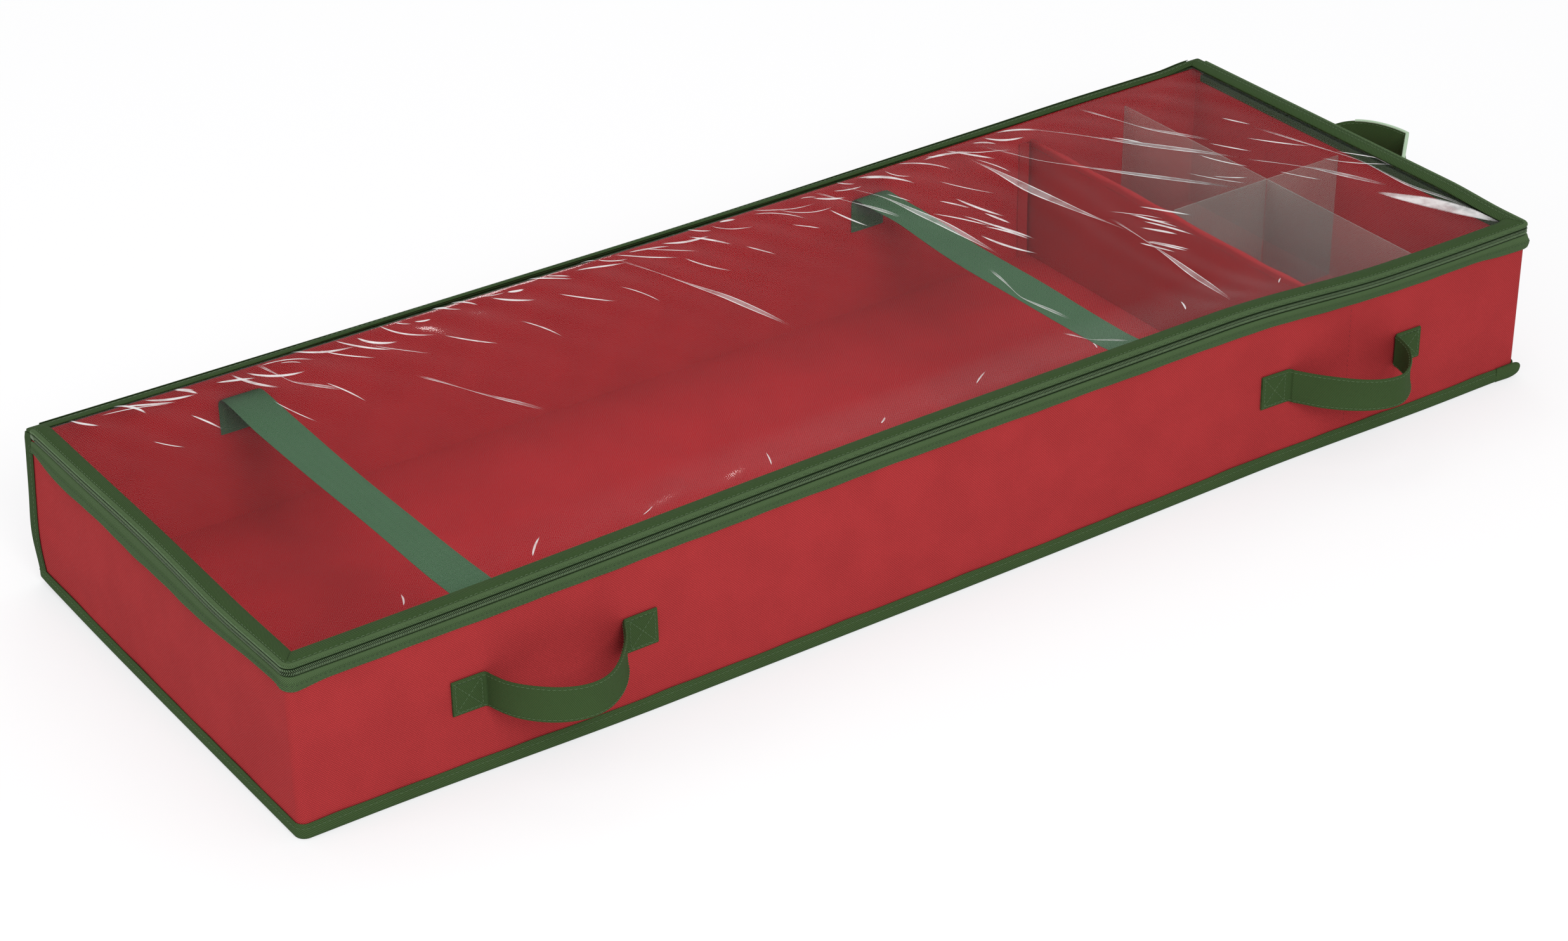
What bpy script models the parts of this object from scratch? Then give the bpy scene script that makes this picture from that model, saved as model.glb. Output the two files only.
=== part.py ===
"""Gift wrap organizer: a long low fabric box with a zipped clear lid, built piece by piece.

Lengths are in metres. +X runs along the long side, the front faces -Y, the lid's sewn hinge is at
the back (+Y), and +Z is up. The origin is the middle of the base, on the surface it stands on.
"""

import math

import bmesh
import bpy
from mathutils import Matrix

# Overall size, with the lid closed and without the handles
BOX_LENGTH = 1.030
BOX_DEPTH = 0.370
BOX_HEIGHT = 0.127
SEAM_GAP = 0.0003
CORNER_RADIUS = 0.006
CORNER_STEPS = 6
LEAST_RADIUS = 0.0004

# Case fabric, stiffening boards and linings
FABRIC_THICKNESS = 0.0006
BOARD_THICKNESS = 0.0024
LINING_THICKNESS = 0.0005

# Green bindings of the case
BOTTOM_BINDING_THICKNESS = 0.0013
BOTTOM_BINDING_HEIGHT = 0.011
BOTTOM_BINDING_UNDER = 0.0008
BOTTOM_BINDING_REACH = 0.008
REAR_BINDING_WIDTH = 0.012
HINGE_BINDING_OUTSIDE = 0.014
HINGE_CLEARANCE = 0.0009

# Zip along the left, front and right walls
TAPE_THICKNESS = 0.0008
UPPER_TAPE_SETBACK = 0.0004
UPPER_TAPE_WIDTH = 0.0032
LOWER_TAPE_WIDTH = 0.0069
TAPE_ABOVE_WALL = 0.0008
COIL_HEIGHT = 0.0011
COIL_THICKNESS = 0.0020
COIL_BEVEL = 0.0004
COIL_SPLIT = 0.0012
ZIP_STOP_LENGTH = 0.006

# Lid
LID_BINDING_THICKNESS = 0.0008
LID_BINDING_TOP_WIDTH = 0.014
LID_BINDING_UNDER_WIDTH = 0.010
LID_REAR_RADIUS = 0.0015
LID_REAR_SETBACK = 0.0010
WINDOW_THICKNESS = 0.0005

# Zip slider and its pull tab, on the right end
SLIDER_LENGTH = 0.012
SLIDER_HEIGHT = 0.0074
SLIDER_INNER_PLATE = 0.0009
SLIDER_OUTER_PLATE = 0.0012
SLIDER_BRIDGE = 0.0006
SLIDER_CLEARANCE = 0.0004
CROWN_LENGTH = 0.007
CROWN_BAR = 0.0010
CROWN_WIDTH = 0.0020
CROWN_ROOM = 0.0022
CROWN_ROOT = 0.0006
PULL_LENGTH = 0.026
PULL_WIDTH = 0.0080
PULL_THICKNESS = 0.0010
PULL_BAR = 0.0010
PULL_EYE_LENGTH = 0.0055
PULL_EYE_WIDTH = 0.0044
PULL_END_STEPS = 8
CUT_OVERRUN = 0.002

# Elastic straps across the long bay
STRAP_WIDTH = 0.030
STRAP_THICKNESS = 0.0012
STRAP_TAB_LENGTH = 0.024
STRAP_BEND_RADIUS = 0.006
STRAP_BEND_STEPS = 5
STRAP_DROP = 0.0146
STRAP_SAG = 0.003
STRAP_RUN_STEPS = 12
STRAP_PLACE_SHARES = (0.1765, 0.8126)

# Divider and clear partitions
DIVIDER_BOARD_THICKNESS = 0.0020
SLEEVE_THICKNESS = 0.0006
DIVIDER_DROP = 0.0135
DIVIDER_PLACE_SHARE = 0.8344
PARTITION_THICKNESS = 0.0010
PARTITION_DROP = 0.0106
PARTITION_SLOT = 0.0018
PARTITION_PLACE_SHARE = 0.558
CROSS_PLACE_SHARE = 0.528

# Carrying handles: a folded strip with a sewn tab at each end and a loop between
HANDLE_LENGTH = 0.150
HANDLE_WIDTH = 0.025
HANDLE_THICKNESS = 0.0016
HANDLE_TAB_LENGTH = 0.0245
HANDLE_FOOT_RADIUS = 0.003
HANDLE_FOOT_STEPS = 4
HANDLE_ARCH_POWER = 0.75
HANDLE_ARCH_STEPS = 24
HANDLE_ROOT_REACH = 0.022
HANDLE_CUT_SIDES = 64
FRONT_HANDLE_REACH = 0.046
FRONT_HANDLE_PLACE_SHARE = 0.323
FRONT_HANDLE_HEIGHT_SHARE = 0.493
END_HANDLE_REACH = 0.062
END_HANDLE_DROP = 0.0271
END_HANDLE_LIFT_SHARE = 0.14

# Faces of the case that other pieces line up with, worked out from the sizes above
TAPE_INNER = SEAM_GAP
TAPE_OUTER = TAPE_INNER + TAPE_THICKNESS
COIL_INNER = TAPE_INNER + TAPE_THICKNESS / 2 - COIL_THICKNESS / 2
COIL_OUTER = COIL_INNER + COIL_THICKNESS
WALL_HALF_LENGTH = BOX_LENGTH / 2 - TAPE_OUTER
WALL_HALF_DEPTH = BOX_DEPTH / 2 - TAPE_OUTER
BOARD_OUTER = -FABRIC_THICKNESS - SEAM_GAP
BOARD_INNER = BOARD_OUTER - BOARD_THICKNESS
LINING_OUTER = BOARD_INNER - SEAM_GAP
LINING_INNER = LINING_OUTER - LINING_THICKNESS
ROOM_HALF_LENGTH = WALL_HALF_LENGTH + LINING_INNER
ROOM_HALF_DEPTH = WALL_HALF_DEPTH + LINING_INNER

# Levels, from the top of the lid down
LID_LEG_LOW = BOX_HEIGHT - LID_BINDING_THICKNESS
WINDOW_HIGH = LID_LEG_LOW - SEAM_GAP
WINDOW_LOW = WINDOW_HIGH - WINDOW_THICKNESS
LID_UNDER_HIGH = WINDOW_LOW - SEAM_GAP
LID_LOW = LID_UNDER_HIGH - LID_BINDING_THICKNESS
HINGE_TOP = LID_LOW - HINGE_CLEARANCE
BACK_WALL_TOP = HINGE_TOP - LID_BINDING_THICKNESS - SEAM_GAP
UPPER_TAPE_HIGH = BOX_HEIGHT - UPPER_TAPE_SETBACK
UPPER_TAPE_LOW = UPPER_TAPE_HIGH - UPPER_TAPE_WIDTH
UPPER_COIL_HIGH = UPPER_TAPE_LOW - SEAM_GAP
UPPER_COIL_LOW = UPPER_COIL_HIGH - COIL_HEIGHT
LOWER_COIL_HIGH = UPPER_COIL_LOW - COIL_SPLIT
LOWER_COIL_LOW = LOWER_COIL_HIGH - COIL_HEIGHT
LOWER_TAPE_HIGH = LOWER_COIL_LOW - SEAM_GAP
LOWER_TAPE_LOW = LOWER_TAPE_HIGH - LOWER_TAPE_WIDTH
WALL_TOP = LOWER_TAPE_HIGH - TAPE_ABOVE_WALL
ZIP_MIDDLE = (UPPER_COIL_LOW + LOWER_COIL_HIGH) / 2

# Levels, from the floor up
WALL_FOOT = BOTTOM_BINDING_UNDER + SEAM_GAP
FLOOR_BOARD_TOP = WALL_FOOT + BOARD_THICKNESS
FLOOR_LINING_LOW = FLOOR_BOARD_TOP + SEAM_GAP
ROOM_FLOOR = FLOOR_LINING_LOW + LINING_THICKNESS
FIXTURE_FOOT = ROOM_FLOOR + SEAM_GAP

# Places along and across the box
HINGE_BACK = BOX_DEPTH / 2
ZIP_REAR = HINGE_BACK - REAR_BINDING_WIDTH - SEAM_GAP
COIL_REAR = ZIP_REAR - ZIP_STOP_LENGTH - SEAM_GAP
SLIDER_PLACE = COIL_REAR - SLIDER_LENGTH / 2
DIVIDER_PLACE = ROOM_HALF_LENGTH * (2 * DIVIDER_PLACE_SHARE - 1)
DIVIDER_HALF_BOARD = DIVIDER_BOARD_THICKNESS / 2
DIVIDER_HALF = DIVIDER_HALF_BOARD + SEAM_GAP + SLEEVE_THICKNESS
SMALL_BAY_LEFT = DIVIDER_PLACE + DIVIDER_HALF
PARTITION_PLACE = SMALL_BAY_LEFT + (ROOM_HALF_LENGTH - SMALL_BAY_LEFT) * PARTITION_PLACE_SHARE
CROSS_PLACE = ROOM_HALF_DEPTH * (2 * CROSS_PLACE_SHARE - 1)
BOTTOM_BINDING_INNER = SEAM_GAP
BOTTOM_BINDING_OUTER = BOTTOM_BINDING_INNER + BOTTOM_BINDING_THICKNESS
HANDLE_MIDDLE = SEAM_GAP + HANDLE_THICKNESS / 2

# Finishes: linear colour, roughness, metallic, alpha
FINISHES = {
    "red_nonwoven": ((0.430, 0.026, 0.030), 0.85, 0.0, 1.0),
    "red_lining": ((0.330, 0.018, 0.022), 0.88, 0.0, 1.0),
    "grey_board": ((0.300, 0.270, 0.230), 0.92, 0.0, 1.0),
    "green_binding": ((0.046, 0.082, 0.040), 0.80, 0.0, 1.0),
    "green_tape": ((0.090, 0.165, 0.080), 0.75, 0.0, 1.0),
    "green_coil": ((0.035, 0.060, 0.030), 0.45, 0.0, 1.0),
    "green_elastic": ((0.062, 0.135, 0.068), 0.78, 0.0, 1.0),
    "green_handle": ((0.048, 0.095, 0.045), 0.80, 0.0, 1.0),
    "clear_vinyl": ((0.950, 0.950, 0.950), 0.10, 0.0, 0.22),
    "frosted_sheet": ((0.720, 0.690, 0.620), 0.30, 0.0, 0.45),
    "slider_metal": ((0.100, 0.130, 0.090), 0.40, 0.8, 1.0),
}


def clear_scene():
    """Removes every object, so the script can run again in the same file."""
    for old in list(bpy.data.objects):
        bpy.data.objects.remove(old, do_unlink=True)


def finish(name):
    """Returns the material of this name from FINISHES, made the first time that it is asked for."""
    if name in bpy.data.materials:
        return bpy.data.materials[name]
    colour, roughness, metallic, alpha = FINISHES[name]
    material = bpy.data.materials.new(name)
    material.use_nodes = True
    shader = material.node_tree.nodes["Principled BSDF"]
    shader.inputs["Base Color"].default_value = (*colour, 1)
    shader.inputs["Roughness"].default_value = roughness
    shader.inputs["Metallic"].default_value = metallic
    shader.inputs["Alpha"].default_value = alpha
    return material


def add_object(name, points, faces, finish_name, origin=(0, 0, 0), parent=None):
    """Adds a mesh object. The points are in the parent's axes, and the origin is a point there too."""
    mesh = bpy.data.meshes.new(name)
    mesh.from_pydata([[p - o for p, o in zip(point, origin)] for point in points], [], faces)
    shape = bmesh.new()
    shape.from_mesh(mesh)
    bmesh.ops.recalc_face_normals(shape, faces=shape.faces)
    shape.to_mesh(mesh)
    shape.free()
    mesh.materials.append(finish(finish_name))
    piece = bpy.data.objects.new(name, mesh)
    piece.location = origin
    piece.parent = parent
    bpy.context.scene.collection.objects.link(piece)
    return piece


def add_anchor(name, location, turn=0.0):
    """Adds an empty on a joint's axis, turned about Z."""
    anchor = bpy.data.objects.new(name, None)
    anchor.location = location
    anchor.rotation_euler = (0, 0, turn)
    bpy.context.scene.collection.objects.link(anchor)
    return anchor


def as_guide(piece):
    """Marks an object as a cutter, which isn't a piece of the organizer."""
    piece.hide_render = True
    piece.display_type = "WIRE"
    return piece


def combine(piece, guide, operation):
    """Adds an exact Boolean of the piece with a guide."""
    modifier = piece.modifiers.new(operation.title(), "BOOLEAN")
    modifier.operation = operation
    modifier.solver = "EXACT"
    modifier.object = guide


def slab(name, low, high, finish_name, parent=None, home=(0, 0, 0)):
    """Adds a box from its low to its high corner, both in the part's axes."""
    low = [value - place for value, place in zip(low, home)]
    high = [value - place for value, place in zip(high, home)]
    middle = [(a + b) / 2 for a, b in zip(low, high)]
    points = [(x, y, z) for x in (low[0], high[0]) for y in (low[1], high[1]) for z in (low[2], high[2])]
    faces = [(0, 1, 3, 2), (4, 6, 7, 5), (0, 4, 5, 1), (2, 3, 7, 6), (0, 2, 6, 4), (1, 5, 7, 3)]
    return add_object(name, points, faces, finish_name, middle, parent)


def prism(name, outline, place, low, high, finish_name, origin=(0, 0, 0), parent=None):
    """Carries a flat outline from low to high. place(a, b, t) gives the point of outline (a, b) at t."""
    count = len(outline)
    points = [place(a, b, t) for t in (low, high) for a, b in outline]
    faces = [(i, (i + 1) % count, count + (i + 1) % count, count + i) for i in range(count)]
    faces += [tuple(range(count)), tuple(range(count, 2 * count))]
    return add_object(name, points, faces, finish_name, origin, parent)


def loft(name, profile, path, closed, finish_name, parent=None, home=(0, 0, 0)):
    """Carries a closed profile of (offset, level) points round a path.

    path(offset) gives the plan of the path at that distance outside the wall's face, always with
    the same number of points, so that the plans at all offsets lie inside one another.
    """
    rows = [[(x - home[0], y - home[1], level - home[2]) for x, y in path(offset)] for offset, level in profile]
    across, along = len(rows), len(rows[0])
    points = [point for row in rows for point in row]
    faces = []
    for i in range(across):
        j = (i + 1) % across
        for k in range(along if closed else along - 1):
            m = (k + 1) % along
            faces.append((i * along + k, i * along + m, j * along + m, j * along + k))
    if not closed:
        faces.append(tuple(i * along for i in range(across)))
        faces.append(tuple(i * along + along - 1 for i in range(across)))
    return add_object(name, points, faces, finish_name, (0, 0, 0), parent)


def corner(side_x, side_y, half_x, edge_y, radius, start):
    """Returns the points of one rounded corner of a plan, a quarter turn from the start angle."""
    points = []
    for step in range(CORNER_STEPS + 1):
        angle = start + math.pi / 2 * step / CORNER_STEPS
        points.append((
            side_x * (half_x - radius) + radius * math.cos(angle),
            edge_y - side_y * radius + radius * math.sin(angle),
        ))
    return points


def open_path(rear):
    """Returns the plan of a strip along the left, front and right walls, up to the rear place."""
    def path(offset):
        half_x, front = WALL_HALF_LENGTH + offset, -WALL_HALF_DEPTH - offset
        radius = max(CORNER_RADIUS + offset, LEAST_RADIUS)
        left = corner(-1, -1, half_x, front, radius, math.pi)
        right = corner(1, -1, half_x, front, radius, -math.pi / 2)
        return [(-half_x, rear), *left, *right, (half_x, rear)]
    return path


def closed_path(back, rear_radius):
    """Returns the plan of a ring round the box whose back edge lies at the back place."""
    def path(offset):
        half_x, front, rear = WALL_HALF_LENGTH + offset, -WALL_HALF_DEPTH - offset, back + offset
        front_radius = max(CORNER_RADIUS + offset, LEAST_RADIUS)
        back_radius = max(rear_radius + offset, LEAST_RADIUS)
        return [
            *corner(-1, -1, half_x, front, front_radius, math.pi),
            *corner(1, -1, half_x, front, front_radius, -math.pi / 2),
            *corner(1, 1, half_x, rear, back_radius, 0),
            *corner(-1, 1, half_x, rear, back_radius, math.pi / 2),
        ]
    return path


def ribbon(name, centres, width, thickness, place, finish_name, parent=None):
    """Carries a flat strip along a centre line. place(along, out, up) gives the point in space.

    Each centre is (along, out, up). The strip's thickness lies square to the line in the plane of
    along and out, and its width lies along up.
    """
    points = []
    last = len(centres) - 1
    for i, (along, out, up) in enumerate(centres):
        before, after = centres[max(i - 1, 0)], centres[min(i + 1, last)]
        step_along, step_out = after[0] - before[0], after[1] - before[1]
        length = math.hypot(step_along, step_out)
        side = (-step_out / length * thickness / 2, step_along / length * thickness / 2)
        for face, edge in ((-1, -1), (1, -1), (1, 1), (-1, 1)):
            points.append(place(along + face * side[0], out + face * side[1], up + edge * width / 2))
    faces = [tuple(range(4)), tuple(range(4 * last, 4 * last + 4))]
    for i in range(last):
        for k in range(4):
            m = (k + 1) % 4
            faces.append((4 * i + k, 4 * i + m, 4 * i + 4 + m, 4 * i + 4 + k))
    return add_object(name, points, faces, finish_name, (0, 0, 0), parent)


def strip_profile(inner, outer, low, high):
    """Returns the profile of a plain strip between two offsets and two levels."""
    return [(inner, low), (outer, low), (outer, high), (inner, high)]


def build_case_fabric():
    """The red outer fabric: one strip folded round three walls, the back panel and the base panel."""
    side_rear = WALL_HALF_DEPTH - FABRIC_THICKNESS - SEAM_GAP
    profile = strip_profile(-FABRIC_THICKNESS, 0, WALL_FOOT, WALL_TOP)
    loft("side_wall_fabric", profile, open_path(side_rear), False, "red_nonwoven")
    slab(
        "back_wall_fabric",
        (-WALL_HALF_LENGTH, WALL_HALF_DEPTH - FABRIC_THICKNESS, WALL_FOOT),
        (WALL_HALF_LENGTH, WALL_HALF_DEPTH, BACK_WALL_TOP),
        "red_nonwoven",
    )
    inset = BOTTOM_BINDING_OUTER - BOTTOM_BINDING_REACH - SEAM_GAP
    half_x, half_y = WALL_HALF_LENGTH + inset, WALL_HALF_DEPTH + inset
    slab("base_fabric", (-half_x, -half_y, 0), (half_x, half_y, FABRIC_THICKNESS), "red_nonwoven")


def build_boards():
    """The stiff boards inside the walls and the floor. Each stops short of the rounded corners."""
    corner_x, corner_y = WALL_HALF_LENGTH - CORNER_RADIUS, WALL_HALF_DEPTH - CORNER_RADIUS
    outer_x, inner_x = WALL_HALF_LENGTH + BOARD_OUTER, WALL_HALF_LENGTH + BOARD_INNER
    outer_y, inner_y = WALL_HALF_DEPTH + BOARD_OUTER, WALL_HALF_DEPTH + BOARD_INNER
    boards = {
        "front_wall_board": ((-corner_x, -outer_y), (corner_x, -inner_y), WALL_TOP),
        "back_wall_board": ((-corner_x, inner_y), (corner_x, outer_y), BACK_WALL_TOP),
        "left_wall_board": ((-outer_x, -corner_y), (-inner_x, corner_y), WALL_TOP),
        "right_wall_board": ((inner_x, -corner_y), (outer_x, corner_y), WALL_TOP),
    }
    for name, (low, high, top) in boards.items():
        slab(name, (*low, WALL_FOOT), (*high, top), "grey_board")
    floor_x, floor_y = inner_x - SEAM_GAP, inner_y - SEAM_GAP
    slab("floor_board", (-floor_x, -floor_y, WALL_FOOT), (floor_x, floor_y, FLOOR_BOARD_TOP), "grey_board")


def build_linings():
    """The red lining round the inside of the walls, and the one on the floor."""
    profile = strip_profile(LINING_INNER, LINING_OUTER, FIXTURE_FOOT, WALL_TOP)
    path = closed_path(WALL_HALF_DEPTH, CORNER_RADIUS)
    loft("wall_lining", profile, path, True, "red_lining")
    half_x, half_y = WALL_HALF_LENGTH + LINING_OUTER, WALL_HALF_DEPTH + LINING_OUTER
    slab("floor_lining", (-half_x, -half_y, FLOOR_LINING_LOW), (half_x, half_y, ROOM_FLOOR), "red_lining")


def angle_outline(outer, inner, reach, height, under):
    """Returns an L: a leg up the wall between two distances, and a leg under it that reaches inwards."""
    return [(outer, 0), (outer, height), (inner, height), (inner, under), (outer - reach, under), (outer - reach, 0)]


def build_bottom_bindings():
    """The green binding round the bottom edge, in four strips that meet at the corners."""
    outline = angle_outline(
        BOTTOM_BINDING_OUTER, BOTTOM_BINDING_INNER, BOTTOM_BINDING_REACH,
        BOTTOM_BINDING_HEIGHT, BOTTOM_BINDING_UNDER,
    )
    long_half = WALL_HALF_LENGTH + BOTTOM_BINDING_OUTER
    short_half = WALL_HALF_DEPTH + BOTTOM_BINDING_OUTER - BOTTOM_BINDING_REACH - SEAM_GAP
    for name, side in (("front", -1), ("back", 1)):
        def place(out, up, along, side=side):
            return (along, side * (WALL_HALF_DEPTH + out), up)
        prism("bottom_binding_" + name, outline, place, -long_half, long_half, "green_binding")
    for name, side in (("left", -1), ("right", 1)):
        def place(out, up, along, side=side):
            return (side * (WALL_HALF_LENGTH + out), along, up)
        prism("bottom_binding_" + name, outline, place, -short_half, short_half, "green_binding")


def build_rear_bindings():
    """The green bindings folded round the two rear corners of the case."""
    low, high = BOTTOM_BINDING_HEIGHT + SEAM_GAP, HINGE_TOP
    for name, side in (("left", -1), ("right", 1)):
        outer_x, inner_x = WALL_HALF_LENGTH + TAPE_OUTER, WALL_HALF_LENGTH + TAPE_INNER
        outer_y, inner_y = HINGE_BACK, HINGE_BACK - TAPE_THICKNESS
        leg_x, leg_y = outer_x - REAR_BINDING_WIDTH, outer_y - REAR_BINDING_WIDTH
        outline = [
            (outer_x, leg_y), (outer_x, outer_y), (leg_x, outer_y),
            (leg_x, inner_y), (inner_x, inner_y), (inner_x, leg_y),
        ]
        def place(x, y, up, side=side):
            return (side * x, y, up)
        prism("corner_binding_" + name, outline, place, low, high, "green_binding")


def build_hinge_binding():
    """The green binding folded over the back wall's top edge, which carries the lid's sewn hinge."""
    outer, cover = HINGE_BACK, HINGE_BACK - LID_BINDING_THICKNESS
    top_low = HINGE_TOP - LID_BINDING_THICKNESS
    outside_low = HINGE_TOP - HINGE_BINDING_OUTSIDE
    inside_low = WALL_TOP + SEAM_GAP
    inside_outer = WALL_HALF_DEPTH + LINING_OUTER
    inside_inner = inside_outer - LID_BINDING_THICKNESS
    outline = [
        (outer, outside_low), (outer, HINGE_TOP), (inside_inner, HINGE_TOP), (inside_inner, inside_low),
        (inside_outer, inside_low), (inside_outer, top_low), (cover, top_low), (cover, outside_low),
    ]
    half = BOX_LENGTH / 2 - REAR_BINDING_WIDTH - SEAM_GAP
    prism("hinge_binding", outline, lambda y, up, along: (along, y, up), -half, half, "green_binding")


def coil_profile(low, high):
    """Returns the profile of a zip coil: a bar with its four edges cut off."""
    inner, outer, cut = COIL_INNER, COIL_OUTER, COIL_BEVEL
    return [
        (inner, low + cut), (inner + cut, low), (outer - cut, low), (outer, low + cut),
        (outer, high - cut), (outer - cut, high), (inner + cut, high), (inner, high - cut),
    ]


def build_lower_zip():
    """The lower half of the zip, which is sewn to the walls, and its two end stops."""
    tape = strip_profile(TAPE_INNER, TAPE_OUTER, LOWER_TAPE_LOW, LOWER_TAPE_HIGH)
    loft("lower_zip_tape", tape, open_path(ZIP_REAR), False, "green_tape")
    coil = coil_profile(LOWER_COIL_LOW, LOWER_COIL_HIGH)
    loft("lower_zip_coil", coil, open_path(COIL_REAR), False, "green_coil")
    for name, side in (("left", -1), ("right", 1)):
        edges = sorted(side * (WALL_HALF_LENGTH + offset) for offset in (COIL_INNER, COIL_OUTER))
        slab(
            "zip_stop_" + name,
            (edges[0], ZIP_REAR - ZIP_STOP_LENGTH, LOWER_COIL_LOW),
            (edges[1], ZIP_REAR, UPPER_COIL_HIGH),
            "green_coil",
        )


def build_lid():
    """The lid: window, its folded binding, and the upper half of the zip, on the sewn hinge's axis."""
    home = (0, HINGE_BACK, (LID_LOW + HINGE_TOP) / 2)
    hinge = add_anchor("lid_hinge", home)
    lid_back = HINGE_BACK - LID_REAR_SETBACK
    inset = LID_BINDING_THICKNESS + SEAM_GAP
    path = closed_path(lid_back, LID_REAR_RADIUS)
    prism(
        "lid_window", path(-inset), lambda x, y, up: (x, y - home[1], up - home[2]),
        WINDOW_LOW, WINDOW_HIGH, "clear_vinyl", (0, 0, 0), hinge,
    )
    profile = [
        (0, LID_LOW), (0, BOX_HEIGHT),
        (-LID_BINDING_TOP_WIDTH, BOX_HEIGHT), (-LID_BINDING_TOP_WIDTH, LID_LEG_LOW),
        (-LID_BINDING_THICKNESS, LID_LEG_LOW), (-LID_BINDING_THICKNESS, LID_UNDER_HIGH),
        (-LID_BINDING_UNDER_WIDTH, LID_UNDER_HIGH), (-LID_BINDING_UNDER_WIDTH, LID_LOW),
    ]
    loft("lid_binding", profile, path, True, "green_binding", hinge, home)
    tape = strip_profile(TAPE_INNER, TAPE_OUTER, UPPER_TAPE_LOW, UPPER_TAPE_HIGH)
    loft("upper_zip_tape", tape, open_path(ZIP_REAR), False, "green_tape", hinge, home)
    coil = coil_profile(UPPER_COIL_LOW, UPPER_COIL_HIGH)
    loft("upper_zip_coil", coil, open_path(COIL_REAR), False, "green_coil", hinge, home)


def build_slider():
    """The zip slider at the closed end of the zip, with its crown and the pull tab that swings in it."""
    face = WALL_HALF_LENGTH
    run = add_anchor("slider_run", (face, SLIDER_PLACE, ZIP_MIDDLE))
    inner_high, outer_low = COIL_INNER - SEAM_GAP, COIL_OUTER + SEAM_GAP
    inner_low, outer_high = inner_high - SLIDER_INNER_PLATE, outer_low + SLIDER_OUTER_PLATE
    foot, head = WALL_TOP + SLIDER_CLEARANCE - ZIP_MIDDLE, LID_LOW - SLIDER_CLEARANCE - ZIP_MIDDLE
    half_bridge, half_height = SLIDER_BRIDGE / 2, SLIDER_HEIGHT / 2
    outline = [
        (inner_low, foot), (inner_high, foot), (inner_high, -half_bridge), (outer_low, -half_bridge),
        (outer_low, -half_height), (outer_high, -half_height), (outer_high, half_height),
        (outer_low, half_height), (outer_low, half_bridge), (inner_high, half_bridge),
        (inner_high, head), (inner_low, head),
    ]
    half = SLIDER_LENGTH / 2
    body = prism(
        "slider_body", outline, lambda out, up, along: (out, along, up), -half, half,
        "slider_metal", (0, 0, 0), run,
    )
    root, under, top = outer_high - CROWN_ROOT, outer_high + CROWN_ROOM, outer_high + CROWN_ROOM + CROWN_BAR
    end, inside = CROWN_LENGTH / 2, CROWN_LENGTH / 2 - CROWN_BAR
    staple = [
        (root, -end), (top, -end), (top, end), (root, end),
        (root, inside), (under, inside), (under, -inside), (root, -inside),
    ]
    crown = prism(
        "crown_guide", staple, lambda out, along, up: (out, along, up),
        -CROWN_WIDTH / 2, CROWN_WIDTH / 2, "slider_metal", (0, 0, 0), run,
    )
    combine(body, as_guide(crown), "UNION")
    build_pull(outer_high + CROWN_ROOM / 2)


def build_pull(out_from_wall):
    """The pull tab: a plate with an eye round the crown's foot, its origin on the bar it swings on."""
    axis = add_anchor("pull_axis", (WALL_HALF_LENGTH + out_from_wall, SLIDER_PLACE, ZIP_MIDDLE))
    half_width, half_bar = PULL_WIDTH / 2, PULL_BAR / 2
    outline = [(half_bar, -half_width), (half_bar, half_width)]
    for step in range(PULL_END_STEPS + 1):
        angle = math.pi * step / PULL_END_STEPS
        outline.append((
            half_bar + half_width - PULL_LENGTH - half_width * math.sin(angle),
            half_width * math.cos(angle),
        ))
    pull = prism(
        "pull_tab", outline, lambda along, up, out: (out, along, up),
        -PULL_THICKNESS / 2, PULL_THICKNESS / 2, "slider_metal", (0, 0, 0), axis,
    )
    eye = slab(
        "pull_eye_guide",
        (-CUT_OVERRUN, -half_bar - PULL_EYE_LENGTH, -PULL_EYE_WIDTH / 2),
        (CUT_OVERRUN, -half_bar, PULL_EYE_WIDTH / 2),
        "slider_metal", axis,
    )
    combine(pull, as_guide(eye), "DIFFERENCE")


def build_straps():
    """The two elastic straps across the long bay, each sewn flat to the lining at both ends."""
    wall = ROOM_HALF_DEPTH - SEAM_GAP - STRAP_THICKNESS / 2
    bend = wall - STRAP_BEND_RADIUS
    level = WALL_TOP - STRAP_DROP
    bend_low = level - STRAP_BEND_RADIUS
    bay_left, bay_right = -ROOM_HALF_LENGTH, DIVIDER_PLACE - DIVIDER_HALF
    for name, share in zip(("left", "right"), STRAP_PLACE_SHARES):
        middle = bay_left + (bay_right - bay_left) * share
        half_line = []
        for step in range(STRAP_BEND_STEPS + 1):
            angle = math.pi / 2 * step / STRAP_BEND_STEPS
            half_line.append((
                -bend - STRAP_BEND_RADIUS * math.cos(angle),
                bend_low + STRAP_BEND_RADIUS * math.sin(angle),
            ))
        run = []
        for step in range(1, STRAP_RUN_STEPS):
            share_along = 2 * step / STRAP_RUN_STEPS - 1
            run.append((bend * share_along, level - STRAP_SAG * (1 - share_along**2)))
        line = [(-wall, bend_low - STRAP_TAB_LENGTH), *half_line, *run]
        line += [(-along, up) for along, up in reversed([(-wall, bend_low - STRAP_TAB_LENGTH), *half_line])]
        ribbon(
            "strap_" + name, [(along, up, middle) for along, up in line], STRAP_WIDTH, STRAP_THICKNESS,
            lambda along, out, up: (up, along, out), "green_elastic",
        )


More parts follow.
